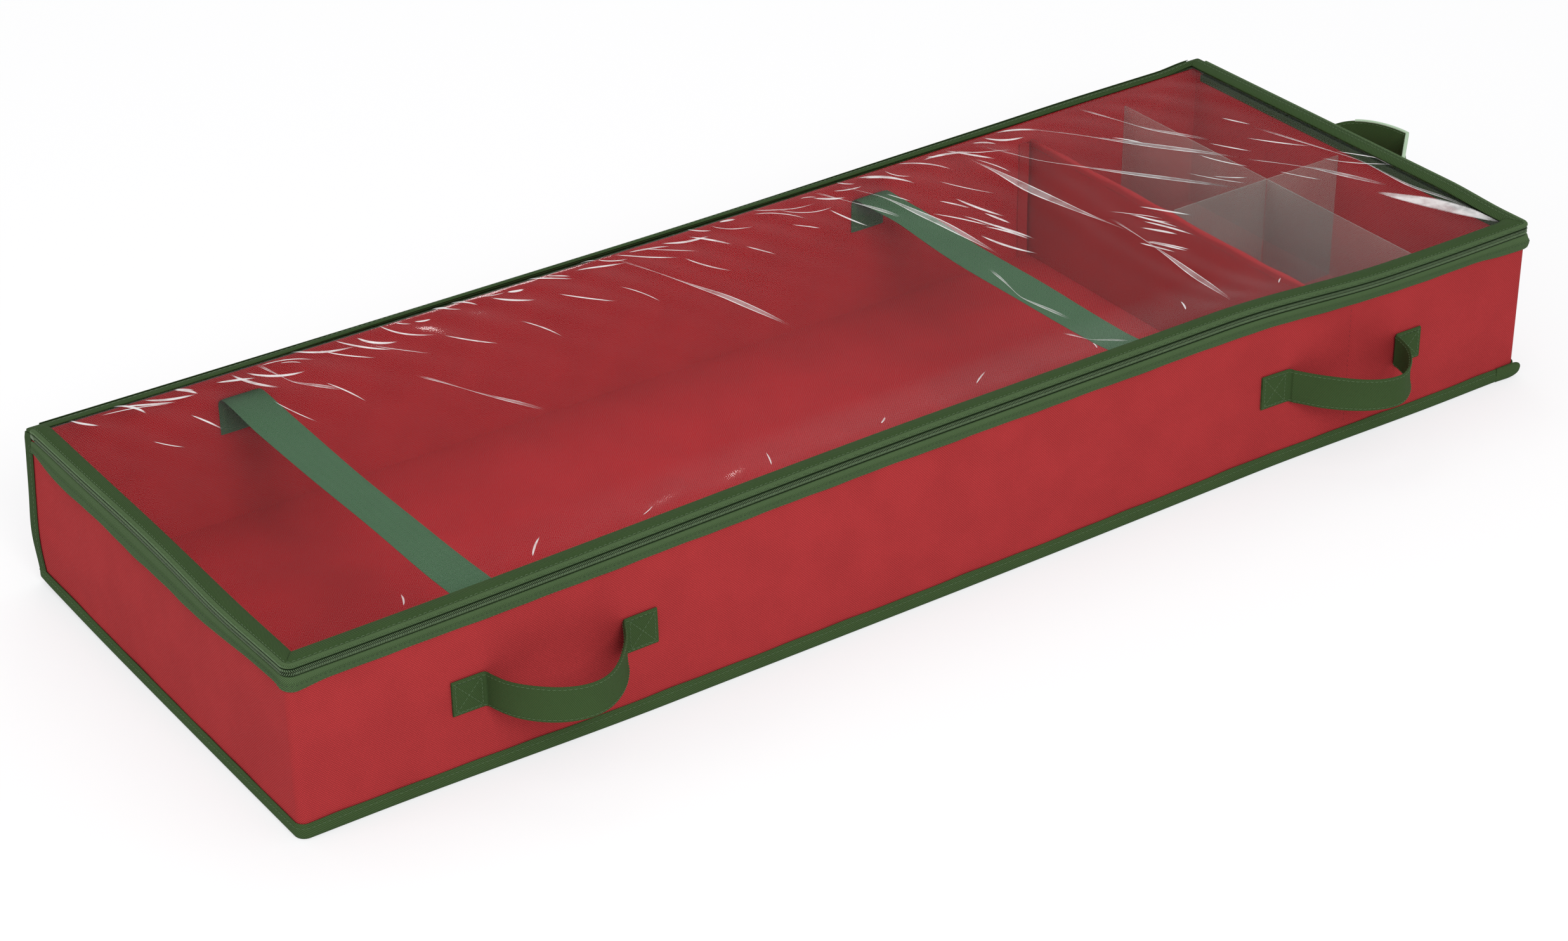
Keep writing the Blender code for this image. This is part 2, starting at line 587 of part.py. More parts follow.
def build_divider():
    """The divider between the bays: a stiff board in a fabric sleeve that is open below."""
    half_depth = ROOM_HALF_DEPTH - SEAM_GAP
    top = WALL_TOP - DIVIDER_DROP
    board_top = top - SLEEVE_THICKNESS - SEAM_GAP
    slab(
        "divider_board",
        (DIVIDER_PLACE - DIVIDER_HALF_BOARD, -half_depth, FIXTURE_FOOT),
        (DIVIDER_PLACE + DIVIDER_HALF_BOARD, half_depth, board_top),
        "grey_board",
    )
    inner, outer = DIVIDER_HALF - SLEEVE_THICKNESS, DIVIDER_HALF
    under = top - SLEEVE_THICKNESS
    outline = [
        (-outer, FIXTURE_FOOT), (-outer, top), (outer, top), (outer, FIXTURE_FOOT),
        (inner, FIXTURE_FOOT), (inner, under), (-inner, under), (-inner, FIXTURE_FOOT),
    ]
    prism(
        "divider_sleeve", outline, lambda out, up, along: (DIVIDER_PLACE + out, along, up),
        -half_depth, half_depth, "red_lining",
    )


def build_partitions():
    """The two clear partitions of the small bay, each with a slot to half its height for the other."""
    top = WALL_TOP - PARTITION_DROP
    middle = (top + FIXTURE_FOOT) / 2
    half, half_slot, clear = PARTITION_THICKNESS / 2, PARTITION_SLOT / 2, SEAM_GAP / 2
    half_depth = ROOM_HALF_DEPTH - SEAM_GAP
    slotted_above = [
        (-half_depth, FIXTURE_FOOT), (half_depth, FIXTURE_FOOT), (half_depth, top),
        (CROSS_PLACE + half_slot, top), (CROSS_PLACE + half_slot, middle - clear),
        (CROSS_PLACE - half_slot, middle - clear), (CROSS_PLACE - half_slot, top), (-half_depth, top),
    ]
    prism(
        "long_partition", slotted_above, lambda y, up, x: (x, y, up),
        PARTITION_PLACE - half, PARTITION_PLACE + half, "frosted_sheet",
    )
    left, right = SMALL_BAY_LEFT + SEAM_GAP, ROOM_HALF_LENGTH - SEAM_GAP
    slotted_below = [
        (left, FIXTURE_FOOT), (PARTITION_PLACE - half_slot, FIXTURE_FOOT),
        (PARTITION_PLACE - half_slot, middle + clear), (PARTITION_PLACE + half_slot, middle + clear),
        (PARTITION_PLACE + half_slot, FIXTURE_FOOT), (right, FIXTURE_FOOT), (right, top), (left, top),
    ]
    prism(
        "cross_partition", slotted_below, lambda x, up, y: (x, y, up),
        CROSS_PLACE - half, CROSS_PLACE + half, "frosted_sheet",
    )


def handle_line(reach, lift_share):
    """Returns the centre line of a handle strip as (along, out, up), from one tab to the other.

    The loop stands out from the wall as a power of a cosine across its span, and rises by the lift
    share of its distance from the wall. A small quarter turn at each foot leads into the flat tab.
    """
    half_span = HANDLE_LENGTH / 2 - HANDLE_TAB_LENGTH
    foot_share = math.acos((HANDLE_FOOT_RADIUS / reach) ** (1 / HANDLE_ARCH_POWER)) * 2 / math.pi
    foot = half_span * foot_share
    line = [(-HANDLE_LENGTH / 2, 0)]
    for step in range(HANDLE_FOOT_STEPS):
        angle = math.pi / 2 * step / HANDLE_FOOT_STEPS
        line.append((
            -foot - HANDLE_FOOT_RADIUS + HANDLE_FOOT_RADIUS * math.sin(angle),
            HANDLE_FOOT_RADIUS - HANDLE_FOOT_RADIUS * math.cos(angle),
        ))
    for step in range(HANDLE_ARCH_STEPS // 2 + 1):
        share = foot_share * math.sin(math.pi / 2 * (2 * step / HANDLE_ARCH_STEPS - 1))
        line.append((half_span * share, reach * math.cos(math.pi / 2 * share) ** HANDLE_ARCH_POWER))
    line += [(-along, out) for along, out in reversed(line[:-1])]
    return [(along, out, out * lift_share) for along, out in line]


def handle_cutter(name, radius, anchor):
    """Adds a round bar along a handle's swing axis, which parts the sewn roots from the loop."""
    shape = bmesh.new()
    bmesh.ops.create_cone(
        shape, cap_ends=True, segments=HANDLE_CUT_SIDES, radius1=radius, radius2=radius,
        depth=HANDLE_LENGTH + 2 * CUT_OVERRUN, matrix=Matrix.Rotation(math.pi / 2, 4, "Y"),
    )
    mesh = bpy.data.meshes.new(name)
    shape.to_mesh(mesh)
    shape.free()
    cutter = bpy.data.objects.new(name, mesh)
    cutter.parent = anchor
    bpy.context.scene.collection.objects.link(cutter)
    return as_guide(cutter)


def build_handle(name, anchor, ends, reach, lift_share):
    """A carrying handle: two sewn tabs with the loop's roots, and the loop that swings between them.

    The strip is parted where it is HANDLE_ROOT_REACH away from the swing axis, so the loop can
    swing past its roots.
    """
    line = handle_line(reach, lift_share)
    middle = len(line) // 2
    roots = handle_cutter(name + "_root_guide", HANDLE_ROOT_REACH, anchor)
    swing = handle_cutter(name + "_swing_guide", HANDLE_ROOT_REACH + SEAM_GAP, anchor)

    def place(along, out, up):
        return (along, -out, up)

    for end, centres in zip(ends, (line[:middle + 1], line[middle:])):
        tab = ribbon(
            name + "_tab_" + end, centres, HANDLE_WIDTH, HANDLE_THICKNESS, place, "green_handle", anchor,
        )
        combine(tab, roots, "INTERSECT")
    loop = ribbon(name + "_loop", line, HANDLE_WIDTH, HANDLE_THICKNESS, place, "green_handle", anchor)
    combine(loop, swing, "DIFFERENCE")


def build_handles():
    """Two handles on the front wall and one on the right end."""
    front = -WALL_HALF_DEPTH - HANDLE_MIDDLE
    level = WALL_TOP * FRONT_HANDLE_HEIGHT_SHARE
    for name, side in (("front_left", -1), ("front_right", 1)):
        place = (side * BOX_LENGTH * FRONT_HANDLE_PLACE_SHARE, front, level)
        anchor = add_anchor(name + "_handle_axis", place)
        build_handle(name + "_handle", anchor, ("left", "right"), FRONT_HANDLE_REACH, 0)
    place = (WALL_HALF_LENGTH + HANDLE_MIDDLE, 0, WALL_TOP - END_HANDLE_DROP)
    anchor = add_anchor("end_handle_axis", place, math.pi / 2)
    build_handle("end_handle", anchor, ("front", "rear"), END_HANDLE_REACH, END_HANDLE_LIFT_SHARE)


def main():
    """Builds the whole organizer."""
    clear_scene()
    build_case_fabric()
    build_boards()
    build_linings()
    build_bottom_bindings()
    build_rear_bindings()
    build_hinge_binding()
    build_lower_zip()
    build_lid()
    build_slider()
    build_straps()
    build_divider()
    build_partitions()
    build_handles()


main()
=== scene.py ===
"""Looks of the gift wrap organizer: a long low red fabric box with a zipped clear lid.

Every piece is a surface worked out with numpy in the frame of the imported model: metres, +X along the
long side, the front towards -Y, the lid's sewn hinge at the back, +Z up.
"""

import logging
import math
from dataclasses import dataclass, field
from enum import Enum
from typing import Callable, Optional, Sequence

import bmesh
import bpy
import numpy as np
from mathutils import Matrix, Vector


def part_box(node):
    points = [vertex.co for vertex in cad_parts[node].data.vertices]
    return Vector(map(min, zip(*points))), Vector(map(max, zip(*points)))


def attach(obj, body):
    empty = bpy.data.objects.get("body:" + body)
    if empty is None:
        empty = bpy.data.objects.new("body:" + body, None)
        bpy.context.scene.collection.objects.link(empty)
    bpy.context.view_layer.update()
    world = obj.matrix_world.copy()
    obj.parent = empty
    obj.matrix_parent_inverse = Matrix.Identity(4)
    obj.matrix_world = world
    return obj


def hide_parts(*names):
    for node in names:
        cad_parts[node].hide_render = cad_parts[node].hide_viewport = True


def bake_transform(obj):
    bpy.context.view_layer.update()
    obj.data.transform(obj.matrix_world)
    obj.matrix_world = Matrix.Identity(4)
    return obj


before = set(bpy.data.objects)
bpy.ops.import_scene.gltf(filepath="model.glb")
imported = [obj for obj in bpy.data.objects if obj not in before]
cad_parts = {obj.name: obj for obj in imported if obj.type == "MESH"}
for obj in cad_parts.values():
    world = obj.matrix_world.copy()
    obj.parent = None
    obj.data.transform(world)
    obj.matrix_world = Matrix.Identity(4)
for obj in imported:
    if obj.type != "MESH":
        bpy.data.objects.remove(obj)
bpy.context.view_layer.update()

log = logging.getLogger("organizer")
Array = np.ndarray
Colour = tuple[float, float, float]
Socket = bpy.types.NodeSocket
Piece = bpy.types.Object
Numbers = float | np.ndarray
Move = Callable[[np.ndarray], np.ndarray]
Span = tuple[float, float]
Spot = tuple[float, float, float]
UP = np.array([0.0, 0.0, 1.0])


@dataclass(frozen=True)
class BoxSizes:
    """Sizes and levels of the box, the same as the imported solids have, in metres."""

    half_length: float = 0.5139
    half_depth: float = 0.1839
    corner_radius: float = 0.006
    height: float = 0.127
    fabric: float = 0.0006
    gap: float = 0.0003
    lining_outer: float = -0.0036
    lining_inner: float = -0.0041
    wall_foot: float = 0.0011
    wall_top: float = 0.1186
    back_top: float = 0.1223
    floor_low: float = 0.0038
    floor_top: float = 0.0043
    fixture_foot: float = 0.0046
    hinge_back: float = 0.185
    hinge_top: float = 0.1234
    zip_rear: float = 0.1727
    coil_rear: float = 0.1664
    zip_middle: float = 0.1214
    rear_binding: float = 0.012
    divider_x: float = 0.34095
    divider_top: float = 0.1051


SIZES = BoxSizes()


@dataclass(frozen=True)
class Settling:
    """How far the soft box has given way in use, in metres."""

    front_foot: float = 0.0048
    front_belly: float = 0.0007
    front_ripple: float = 0.0006
    front_arch: float = 0.0075
    front_splay: float = 0.0048
    back_belly: float = 0.0010
    back_dip: float = 0.0013
    back_sag: float = 0.0050
    left_least: float = 0.0002
    end_belly: float = 0.0008
    left_bow: float = 0.0018
    left_dent: float = 0.0010
    left_swell: float = 0.0036
    left_upper_swell: float = 0.0014
    foot_lift: float = 0.0045
    foot_spread: float = 0.0025
    lid_lift: float = 0.0024


SETTLING = Settling()


class Weave(Enum):
    """The ways in which a cloth's surface is made."""

    EMBOSSED = "embossed dots"
    RIBBED = "diagonal ribs"
    HERRINGBONE = "herringbone"
    TWILL = "twill"


class NodeDesk:
    """Adds shader nodes to one material or world, through methods named by what the nodes do."""

    def __init__(self, owner: object, output: str = "ShaderNodeOutputMaterial") -> None:
        """Clears the owner's nodes and adds its output.

        Args:
            owner: the material or world whose nodes are set up.
            output: the kind of its output node.
        """
        owner.use_nodes = True
        self.tree = owner.node_tree
        self.tree.nodes.clear()
        self.output = self.tree.nodes.new(output)

    def node(self, kind: str) -> bpy.types.Node:
        """Returns a new node of this kind."""
        return self.tree.nodes.new(kind)

    def feed(self, socket: Socket, value: object) -> None:
        """Links a socket to an output, or sets its plain value.

        Args:
            socket: the input to feed.
            value: an output socket, a number or a colour.
        """
        if isinstance(value, Socket):
            self.tree.links.new(value, socket)
        elif isinstance(value, tuple) and len(value) == 3 and socket.type == "RGBA":
            socket.default_value = (*value, 1.0)
        else:
            socket.default_value = value

    def maths(self, operation: str, first: object, second: object = 0.0) -> Socket:
        """Returns the result of a Math node.

        Args:
            operation: Blender's name of the operation.
            first: the first input.
            second: the second input.

        Returns:
            The node's output.
        """
        node = self.node("ShaderNodeMath")
        node.operation = operation
        for socket, value in zip(node.inputs, (first, second)):
            self.feed(socket, value)
        return node.outputs[0]

    def times(self, first: object, second: object) -> Socket:
        """Returns the product of two values."""
        return self.maths("MULTIPLY", first, second)

    def plus(self, first: object, second: object) -> Socket:
        """Returns the sum of two values."""
        return self.maths("ADD", first, second)

    def cut_map(self) -> tuple[Socket, Socket]:
        """Returns U and V of the piece's own map.

        Returns:
            The two outputs.
        """
        uv = self.node("ShaderNodeUVMap")
        uv.uv_map = "Cut"
        parts = self.node("ShaderNodeSeparateXYZ")
        self.feed(parts.inputs[0], uv.outputs[0])
        return parts.outputs[0], parts.outputs[1]

    def cloth_mm(self) -> tuple[Socket, Socket]:
        """Returns the places along and across the cloth in millimetres."""
        u, v = self.cut_map()
        return self.times(u, 1000.0), self.times(v, 1000.0)

    def seen(self) -> Socket:
        """Returns 1 where the camera, a mirror or a clear sheet looks, and 0 elsewhere.

        Returns:
            The share.
        """
        path = self.node("ShaderNodeLightPath")
        camera, mirror, sheet = (path.outputs[f"Is {kind} Ray"] for kind in ("Camera", "Glossy", "Transmission"))
        return self.maths("MAXIMUM", camera, self.maths("MAXIMUM", mirror, sheet))

    def place_mm(self) -> Socket:
        """Returns the piece's Object coordinates in millimetres.

        Returns:
            The coordinates.
        """
        place = self.node("ShaderNodeTexCoord")
        scaled = self.node("ShaderNodeVectorMath")
        scaled.operation = "SCALE"
        self.feed(scaled.inputs[0], place.outputs["Object"])
        self.feed(scaled.inputs["Scale"], 1000.0)
        return scaled.outputs[0]

    def noise(self, size_mm: float, detail: float = 2.0, vector: Optional[Socket] = None) -> Socket:
        """Returns smooth noise from 0 to 1.

        Args:
            size_mm: the size of its patches, in millimetres.
            detail: how many finer layers it has.
            vector: coordinates in millimetres, or None for the Object coordinates.

        Returns:
            The noise.
        """
        node = self.node("ShaderNodeTexNoise")
        self.feed(node.inputs["Vector"], vector if vector is not None else self.place_mm())
        self.feed(node.inputs["Scale"], 1.0 / size_mm)
        self.feed(node.inputs["Detail"], detail)
        return node.outputs["Fac"]

    def wave(self, run: Socket, pitch_mm: float) -> Socket:
        """Returns a sine wave from -1 to 1 along a run, with a pitch, both in millimetres."""
        return self.maths("SINE", self.times(run, 2 * math.pi / pitch_mm))

    def ramp(self, value: object, low: float, high: float, start: float = 0.0, end: float = 1.0) -> Socket:
        """Returns the value eased from one range into another.

        Args:
            value: the input.
            low: the input's value that gives start.
            high: the input's value that gives end.
            start: the result at low.
            end: the result at high.

        Returns:
            The eased value.
        """
        node = self.node("ShaderNodeMapRange")
        node.interpolation_type = "SMOOTHSTEP"
        numbers = {"Value": value, "From Min": low, "From Max": high, "To Min": start, "To Max": end}
        for name, number in numbers.items():
            self.feed(node.inputs[name], number)
        return node.outputs["Result"]

    def blend(self, share: object, first: object, second: object) -> Socket:
        """Returns a mix of two colours.

        Args:
            share: 0 for the first colour and 1 for the second.
            first: a colour.
            second: a colour.

        Returns:
            The mixed colour.
        """
        node = self.node("ShaderNodeMix")
        node.data_type = "RGBA"
        for index, value in ((0, share), (6, first), (7, second)):
            self.feed(node.inputs[index], value)
        return node.outputs[2]

    def bump(self, height: object, depth_mm: float) -> Socket:
        """Returns a normal that is tilted by a height from 0 to 1.

        Args:
            height: the height.
            depth_mm: how deep the pattern is.

        Returns:
            The normal.
        """
        node = self.node("ShaderNodeBump")
        self.feed(node.inputs["Distance"], depth_mm / 1000.0)
        self.feed(node.inputs["Height"], height)
        return node.outputs["Normal"]

    def surface(self, colour: object, roughness: object, normal: Optional[Socket] = None, **plain: object) -> None:
        """Adds the Principled shader and links it to the output.

        Args:
            colour: the base colour.
            roughness: the roughness.
            normal: a normal from bump, or None.
            **plain: values for other sockets, with _ for each space in their names.
        """
        shader = self.node("ShaderNodeBsdfPrincipled")
        self.feed(shader.inputs["Base Color"], colour)
        self.feed(shader.inputs["Roughness"], roughness)
        if normal is not None:
            self.feed(shader.inputs["Normal"], normal)
        for name, value in plain.items():
            self.feed(shader.inputs[name.replace("_", " ")], value)
        self.feed(self.output.inputs["Surface"], shader.outputs[0])


def shade(colour: Colour, by: float) -> Colour:
    """Returns a colour made darker or lighter by a factor, at most 1 in each channel."""
    return tuple(min(1.0, channel * by) for channel in colour)


@dataclass(frozen=True)
class ClothFinish:
    """A cloth: its colour, how it is woven or embossed, and how it wears.

    The pattern is a product or sum of sine waves on the UV map, which is in metres along and across
    the cloth, so it follows every fold.
    """

    colour: Colour
    weave: Weave
    pitch_mm: float
    contrast: float = 0.22
    depth_mm: float = 0.12
    mottle: float = 0.10
    roughness: float = 0.82
    sheen: float = 0.12
    band_mm: float = 3.4

    def pattern(self, desk: NodeDesk) -> Socket:
        """Returns the height of the weave, from 0 to 1.

        Args:
            desk: the material's nodes.

        Returns:
            A product of two waves for dots, and otherwise one or two waves aslant.
        """
        along, across = desk.cloth_mm()
        wander = desk.times(desk.maths("SUBTRACT", desk.noise(4.0, 1.0), 0.5), 0.5 * self.pitch_mm)
        along = desk.plus(along, wander)
        if self.weave is Weave.EMBOSSED:
            dots = desk.times(desk.wave(along, self.pitch_mm), desk.wave(across, self.pitch_mm))
            return desk.ramp(dots, -0.15, 0.75)
        if self.weave is Weave.HERRINGBONE:
            turned = desk.maths("PINGPONG", across, self.band_mm)
            slant = desk.plus(along, desk.times(turned, 1.1))
            return desk.ramp(desk.wave(slant, self.pitch_mm), -0.7, 0.8)
        slope = 1.0 if self.weave is Weave.RIBBED else 0.62
        slant = desk.plus(along, desk.times(across, slope))
        ribs = desk.wave(slant, self.pitch_mm)
        cross = desk.wave(desk.maths("SUBTRACT", along, across), self.pitch_mm * 0.55)
        return desk.ramp(desk.plus(ribs, desk.times(cross, 0.45)), -1.1, 1.2)

    def dress(self, desk: NodeDesk) -> None:
        """Adds weave, soft mottling, fine fuzz and a little sheen.

        Args:
            desk: the material's nodes.
        """
        height = self.pattern(desk)
        clouds = desk.ramp(desk.noise(38.0, 3.0), 0.3, 0.7)
        fuzz = desk.noise(0.5, 2.0)
        dark = shade(self.colour, 1.0 - self.contrast)
        light = shade(self.colour, 1.0 + self.contrast)
        woven = desk.blend(height, dark, light)
        clouded = desk.blend(desk.times(clouds, self.mottle), woven, shade(self.colour, 2.2))
        worn = desk.blend(desk.times(fuzz, 0.10), clouded, shade(self.colour, 1.35))
        relief = desk.plus(height, desk.times(fuzz, 0.35))
        desk.surface(
            worn, desk.ramp(fuzz, 0.2, 0.8, self.roughness - 0.06, self.roughness + 0.06),
            desk.bump(relief, self.depth_mm), Specular_IOR_Level=0.08,
            Sheen_Weight=self.sheen, Sheen_Roughness=0.5, Sheen_Tint=(*shade(self.colour, 1.8), 1.0),
        )


@dataclass(frozen=True)
class ThreadFinish:
    """Sewing thread or nylon coil: fine twist along each stitch."""

    colour: Colour
    roughness: float = 0.6
    shine: float = 0.30

    def dress(self, desk: NodeDesk) -> None:
        """Adds a plain thread with a little change from stitch to stitch.

        Args:
            desk: the material's nodes.
        """
        change = desk.noise(2.2, 2.0)
        twist = desk.noise(0.25, 1.0)
        colour = desk.blend(change, shade(self.colour, 0.72), shade(self.colour, 1.28))
        rough = desk.ramp(twist, 0.2, 0.8, self.roughness - 0.08, self.roughness + 0.08)
        desk.surface(colour, rough, desk.bump(twist, 0.05), Specular_IOR_Level=self.shine)


@dataclass(frozen=True)
class VinylFinish:
    """Clear or frosted plastic sheet. Its gloss grows towards grazing angles, and its haze is what it hides."""

    colour: Colour
    haze: float
    haze_spread: float
    roughness: float
    metallic: float = 0.0
    gloss: float = 0.5

    def dress(self, desk: NodeDesk) -> None:
        """Adds a glossy skin over a thin haze that varies across the sheet.

        Args:
            desk: the material's nodes.
        """
        cloud = desk.noise(60.0, 3.0)
        haze = desk.ramp(cloud, 0.3, 0.75, self.haze, self.haze + self.haze_spread)
        facing = desk.node("ShaderNodeLayerWeight")
        facing.inputs["Blend"].default_value = 0.5
        gloss = desk.times(desk.maths("POWER", facing.outputs["Facing"], 4.0), self.gloss)
        solid = desk.maths("MINIMUM", desk.plus(haze, gloss), 1.0)
        rough = desk.ramp(desk.noise(5.0, 3.0), 0.2, 0.8, self.roughness * 0.7, self.roughness * 1.4)
        desk.surface(self.colour, rough, None, Alpha=solid, Metallic=self.metallic)


@dataclass(frozen=True)
class CreaseHighlightFinish:
    """Painted highlights on marks and folds in clear vinyl: white where their ridges would catch the light.

    On its UV map V runs from -1 to 1 across a crease and U from 0 to 1 along it, plus 2 for a fold. A
    mark's painted highlight is filled and soft at its edges; a fold's, two thin bright lines, a faint veil between.
    """

    colour: Colour
    mark: float
    fold_line: float
    fold_veil: float

    def dress(self, desk: NodeDesk) -> None:
        """Adds the painted highlight: a white skin that hides what lies under it by the UV map's pattern, broken by
        noise.

        Args:
            desk: the material's nodes.
        """
        u, v = desk.cut_map()
        is_fold = desk.maths("GREATER_THAN", u, 1.5)
        share = desk.maths("SUBTRACT", u, desk.times(is_fold, 2.0))
        across = desk.maths("ABSOLUTE", v)
        ends = desk.times(desk.ramp(share, 0.0, 0.18), desk.ramp(share, 1.0, 0.72))
        broken = desk.ramp(desk.noise(15.0, 2.0), 0.32, 0.60, 0.50, 1.0)
        mark = desk.times(desk.ramp(across, 1.0, 0.60), self.mark)
        line = desk.times(desk.ramp(across, 0.62, 0.86), desk.ramp(across, 1.0, 0.90))
        veil = desk.times(desk.ramp(across, 1.0, 0.9), self.fold_veil)
        fold = desk.plus(desk.times(line, self.fold_line), veil)
        chosen = desk.plus(desk.times(mark, desk.maths("SUBTRACT", 1.0, is_fold)), desk.times(fold, is_fold))
        painted_highlight = desk.times(desk.times(chosen, ends), broken)
        desk.surface(self.colour, desk.ramp(desk.noise(3.0, 2.0), 0.2, 0.8, 0.22, 0.4), None, Alpha=painted_highlight)


@dataclass(frozen=True)
class BoardFinish:
    """Grey chipboard with fibres and flecks."""

    colour: Colour

    def dress(self, desk: NodeDesk) -> None:
        """Adds pressed fibres and darker flecks.

        Args:
            desk: the material's nodes.
        """
        fibres = desk.noise(1.2, 4.0)
        flecks = desk.ramp(desk.noise(2.5, 1.0), 0.62, 0.7)
        colour = desk.blend(fibres, shade(self.colour, 0.8), shade(self.colour, 1.2))
        flecked = desk.blend(flecks, colour, shade(self.colour, 0.6))
        desk.surface(flecked, 0.92, desk.bump(fibres, 0.1), Specular_IOR_Level=0.2)


@dataclass(frozen=True)
class EnamelFinish:
    """Enamelled zinc, with the enamel thin and rubbed here and there."""

    colour: Colour

    def dress(self, desk: NodeDesk) -> None:
        """Adds enamel with fine orange peel and small rubbed patches.

        Args:
            desk: the material's nodes.
        """
        rubbed = desk.ramp(desk.noise(1.6, 3.0), 0.60, 0.72, 0.0, 0.5)
        colour = desk.blend(rubbed, self.colour, shade(self.colour, 3.0))
        rough = desk.ramp(rubbed, 0.0, 0.5, 0.32, 0.5)
        desk.surface(colour, rough, desk.bump(desk.noise(0.8, 2.0), 0.04), Metallic=0.75)


class Finishes:
    """Every finish of the organizer, each made the first time that it is asked for, and its slot in the record."""

    KNOWN = {
        "red_nonwoven": ClothFinish((0.396, 0.034, 0.037), Weave.EMBOSSED, 1.7, 0.30, 0.18, 0.07, 0.84, 0.02),
        "red_lining": ClothFinish((0.450, 0.020, 0.026), Weave.EMBOSSED, 1.9, 0.34, 0.16, 0.06, 0.84, 0.03),
        "red_divider": ClothFinish((0.330, 0.016, 0.019), Weave.RIBBED, 1.1, 0.30, 0.12, 0.06, 0.84, 0.03),
        "green_binding": ClothFinish((0.035, 0.066, 0.022), Weave.RIBBED, 1.5, 0.36, 0.20, 0.05, 0.84, 0.04),
        # A lighter copy of the binding's green for the foot binding: painted light.
        "lit_green_foot": ClothFinish((0.044, 0.082, 0.028), Weave.RIBBED, 1.5, 0.36, 0.20, 0.05, 0.84, 0.04),
        "green_tape": ClothFinish((0.064, 0.108, 0.045), Weave.HERRINGBONE, 1.15, 0.42, 0.14, 0.04, 0.78, 0.04),
        "green_cord": ClothFinish((0.059, 0.102, 0.042), Weave.RIBBED, 1.15, 0.42, 0.24, 0.04, 0.80, 0.04),
        "green_elastic": ClothFinish((0.050, 0.118, 0.058), Weave.HERRINGBONE, 1.25, 0.50, 0.16, 0.04, 0.78, 0.06, 3.0),
        "green_handle": ClothFinish((0.039, 0.073, 0.024), Weave.TWILL, 1.2, 0.26, 0.16, 0.05, 0.84, 0.06),
        # A pale copy of the handle's green: the painted highlight on the end handle's top edge.
        "painted_edge_highlight": ClothFinish((0.420, 0.560, 0.400), Weave.TWILL, 0.9, 0.20, 0.10, 0.05, 0.78, 0.10),
        "thread": ThreadFinish((0.082, 0.140, 0.062)),
        "dark_thread": ThreadFinish((0.030, 0.052, 0.024)),
        # A lighter copy of the thread, which paints light on the upper tape's ribs.
        "lit_rib_thread": ThreadFinish((0.112, 0.178, 0.086)),
        "red_thread": ThreadFinish((0.170, 0.012, 0.014)),
        "coil_nylon": ThreadFinish((0.088, 0.140, 0.066), 0.42),
        # A near-black copy of the coil's nylon for its core: painted shade between the teeth.
        "coil_shade_core": ThreadFinish((0.007, 0.016, 0.005), 0.70, 0.06),
        "clear_vinyl": VinylFinish((0.94, 0.96, 0.97), 0.0015, 0.001, 0.06, 1.0, 0.12),
        # White painted highlights on the vinyl's marks and folds.
        "vinyl_crease_highlight": CreaseHighlightFinish((0.94, 0.93, 0.93), 0.55, 0.60, 0.14),
        "frosted_sheet": VinylFinish((0.56, 0.55, 0.50), 0.12, 0.05, 0.28),
        "chipboard": BoardFinish((0.30, 0.27, 0.23)),
        "enamel": EnamelFinish((0.060, 0.090, 0.045)),
    }

    SLOTS = {
        "red_nonwoven": "red_nonwoven", "red_lining": "red_lining", "red_divider": "red_lining",
        "green_binding": "green_binding", "lit_green_foot": "green_binding", "green_tape": "green_tape",
        "green_cord": "green_tape", "green_elastic": "green_elastic", "green_handle": "green_handle",
        "painted_edge_highlight": "green_handle", "coil_nylon": "green_coil", "coil_shade_core": "green_coil",
        "clear_vinyl": "clear_vinyl", "vinyl_crease_highlight": "clear_vinyl", "chipboard": "grey_board",
        "enamel": "slider_metal",
    }

    def __init__(self) -> None:
        """Starts with nothing made."""
        self.made: dict[str, bpy.types.Material] = {}

    def get(self, name: str) -> bpy.types.Material:
        """Returns the material of this name.

        Args:
            name: the finish's name.

        Returns:
            The material.
        """
        if name not in self.made:
            self.made[name] = bpy.data.materials.new(name)
            self.KNOWN[name].dress(NodeDesk(self.made[name]))
        return self.made[name]


FINISHES = Finishes()


def eased(value: Numbers) -> Array:
    """Returns 0 below 0, 1 above 1, and 3t^2 - 2t^3 between them."""
    t = np.clip(value, 0.0, 1.0)
    return t * t * (3 - 2 * t)


def bell(value: Array) -> Array:
    """Returns a bell curve: 1 at 0, and e to the power of minus the value's square elsewhere."""
    return np.exp(-(value**2))


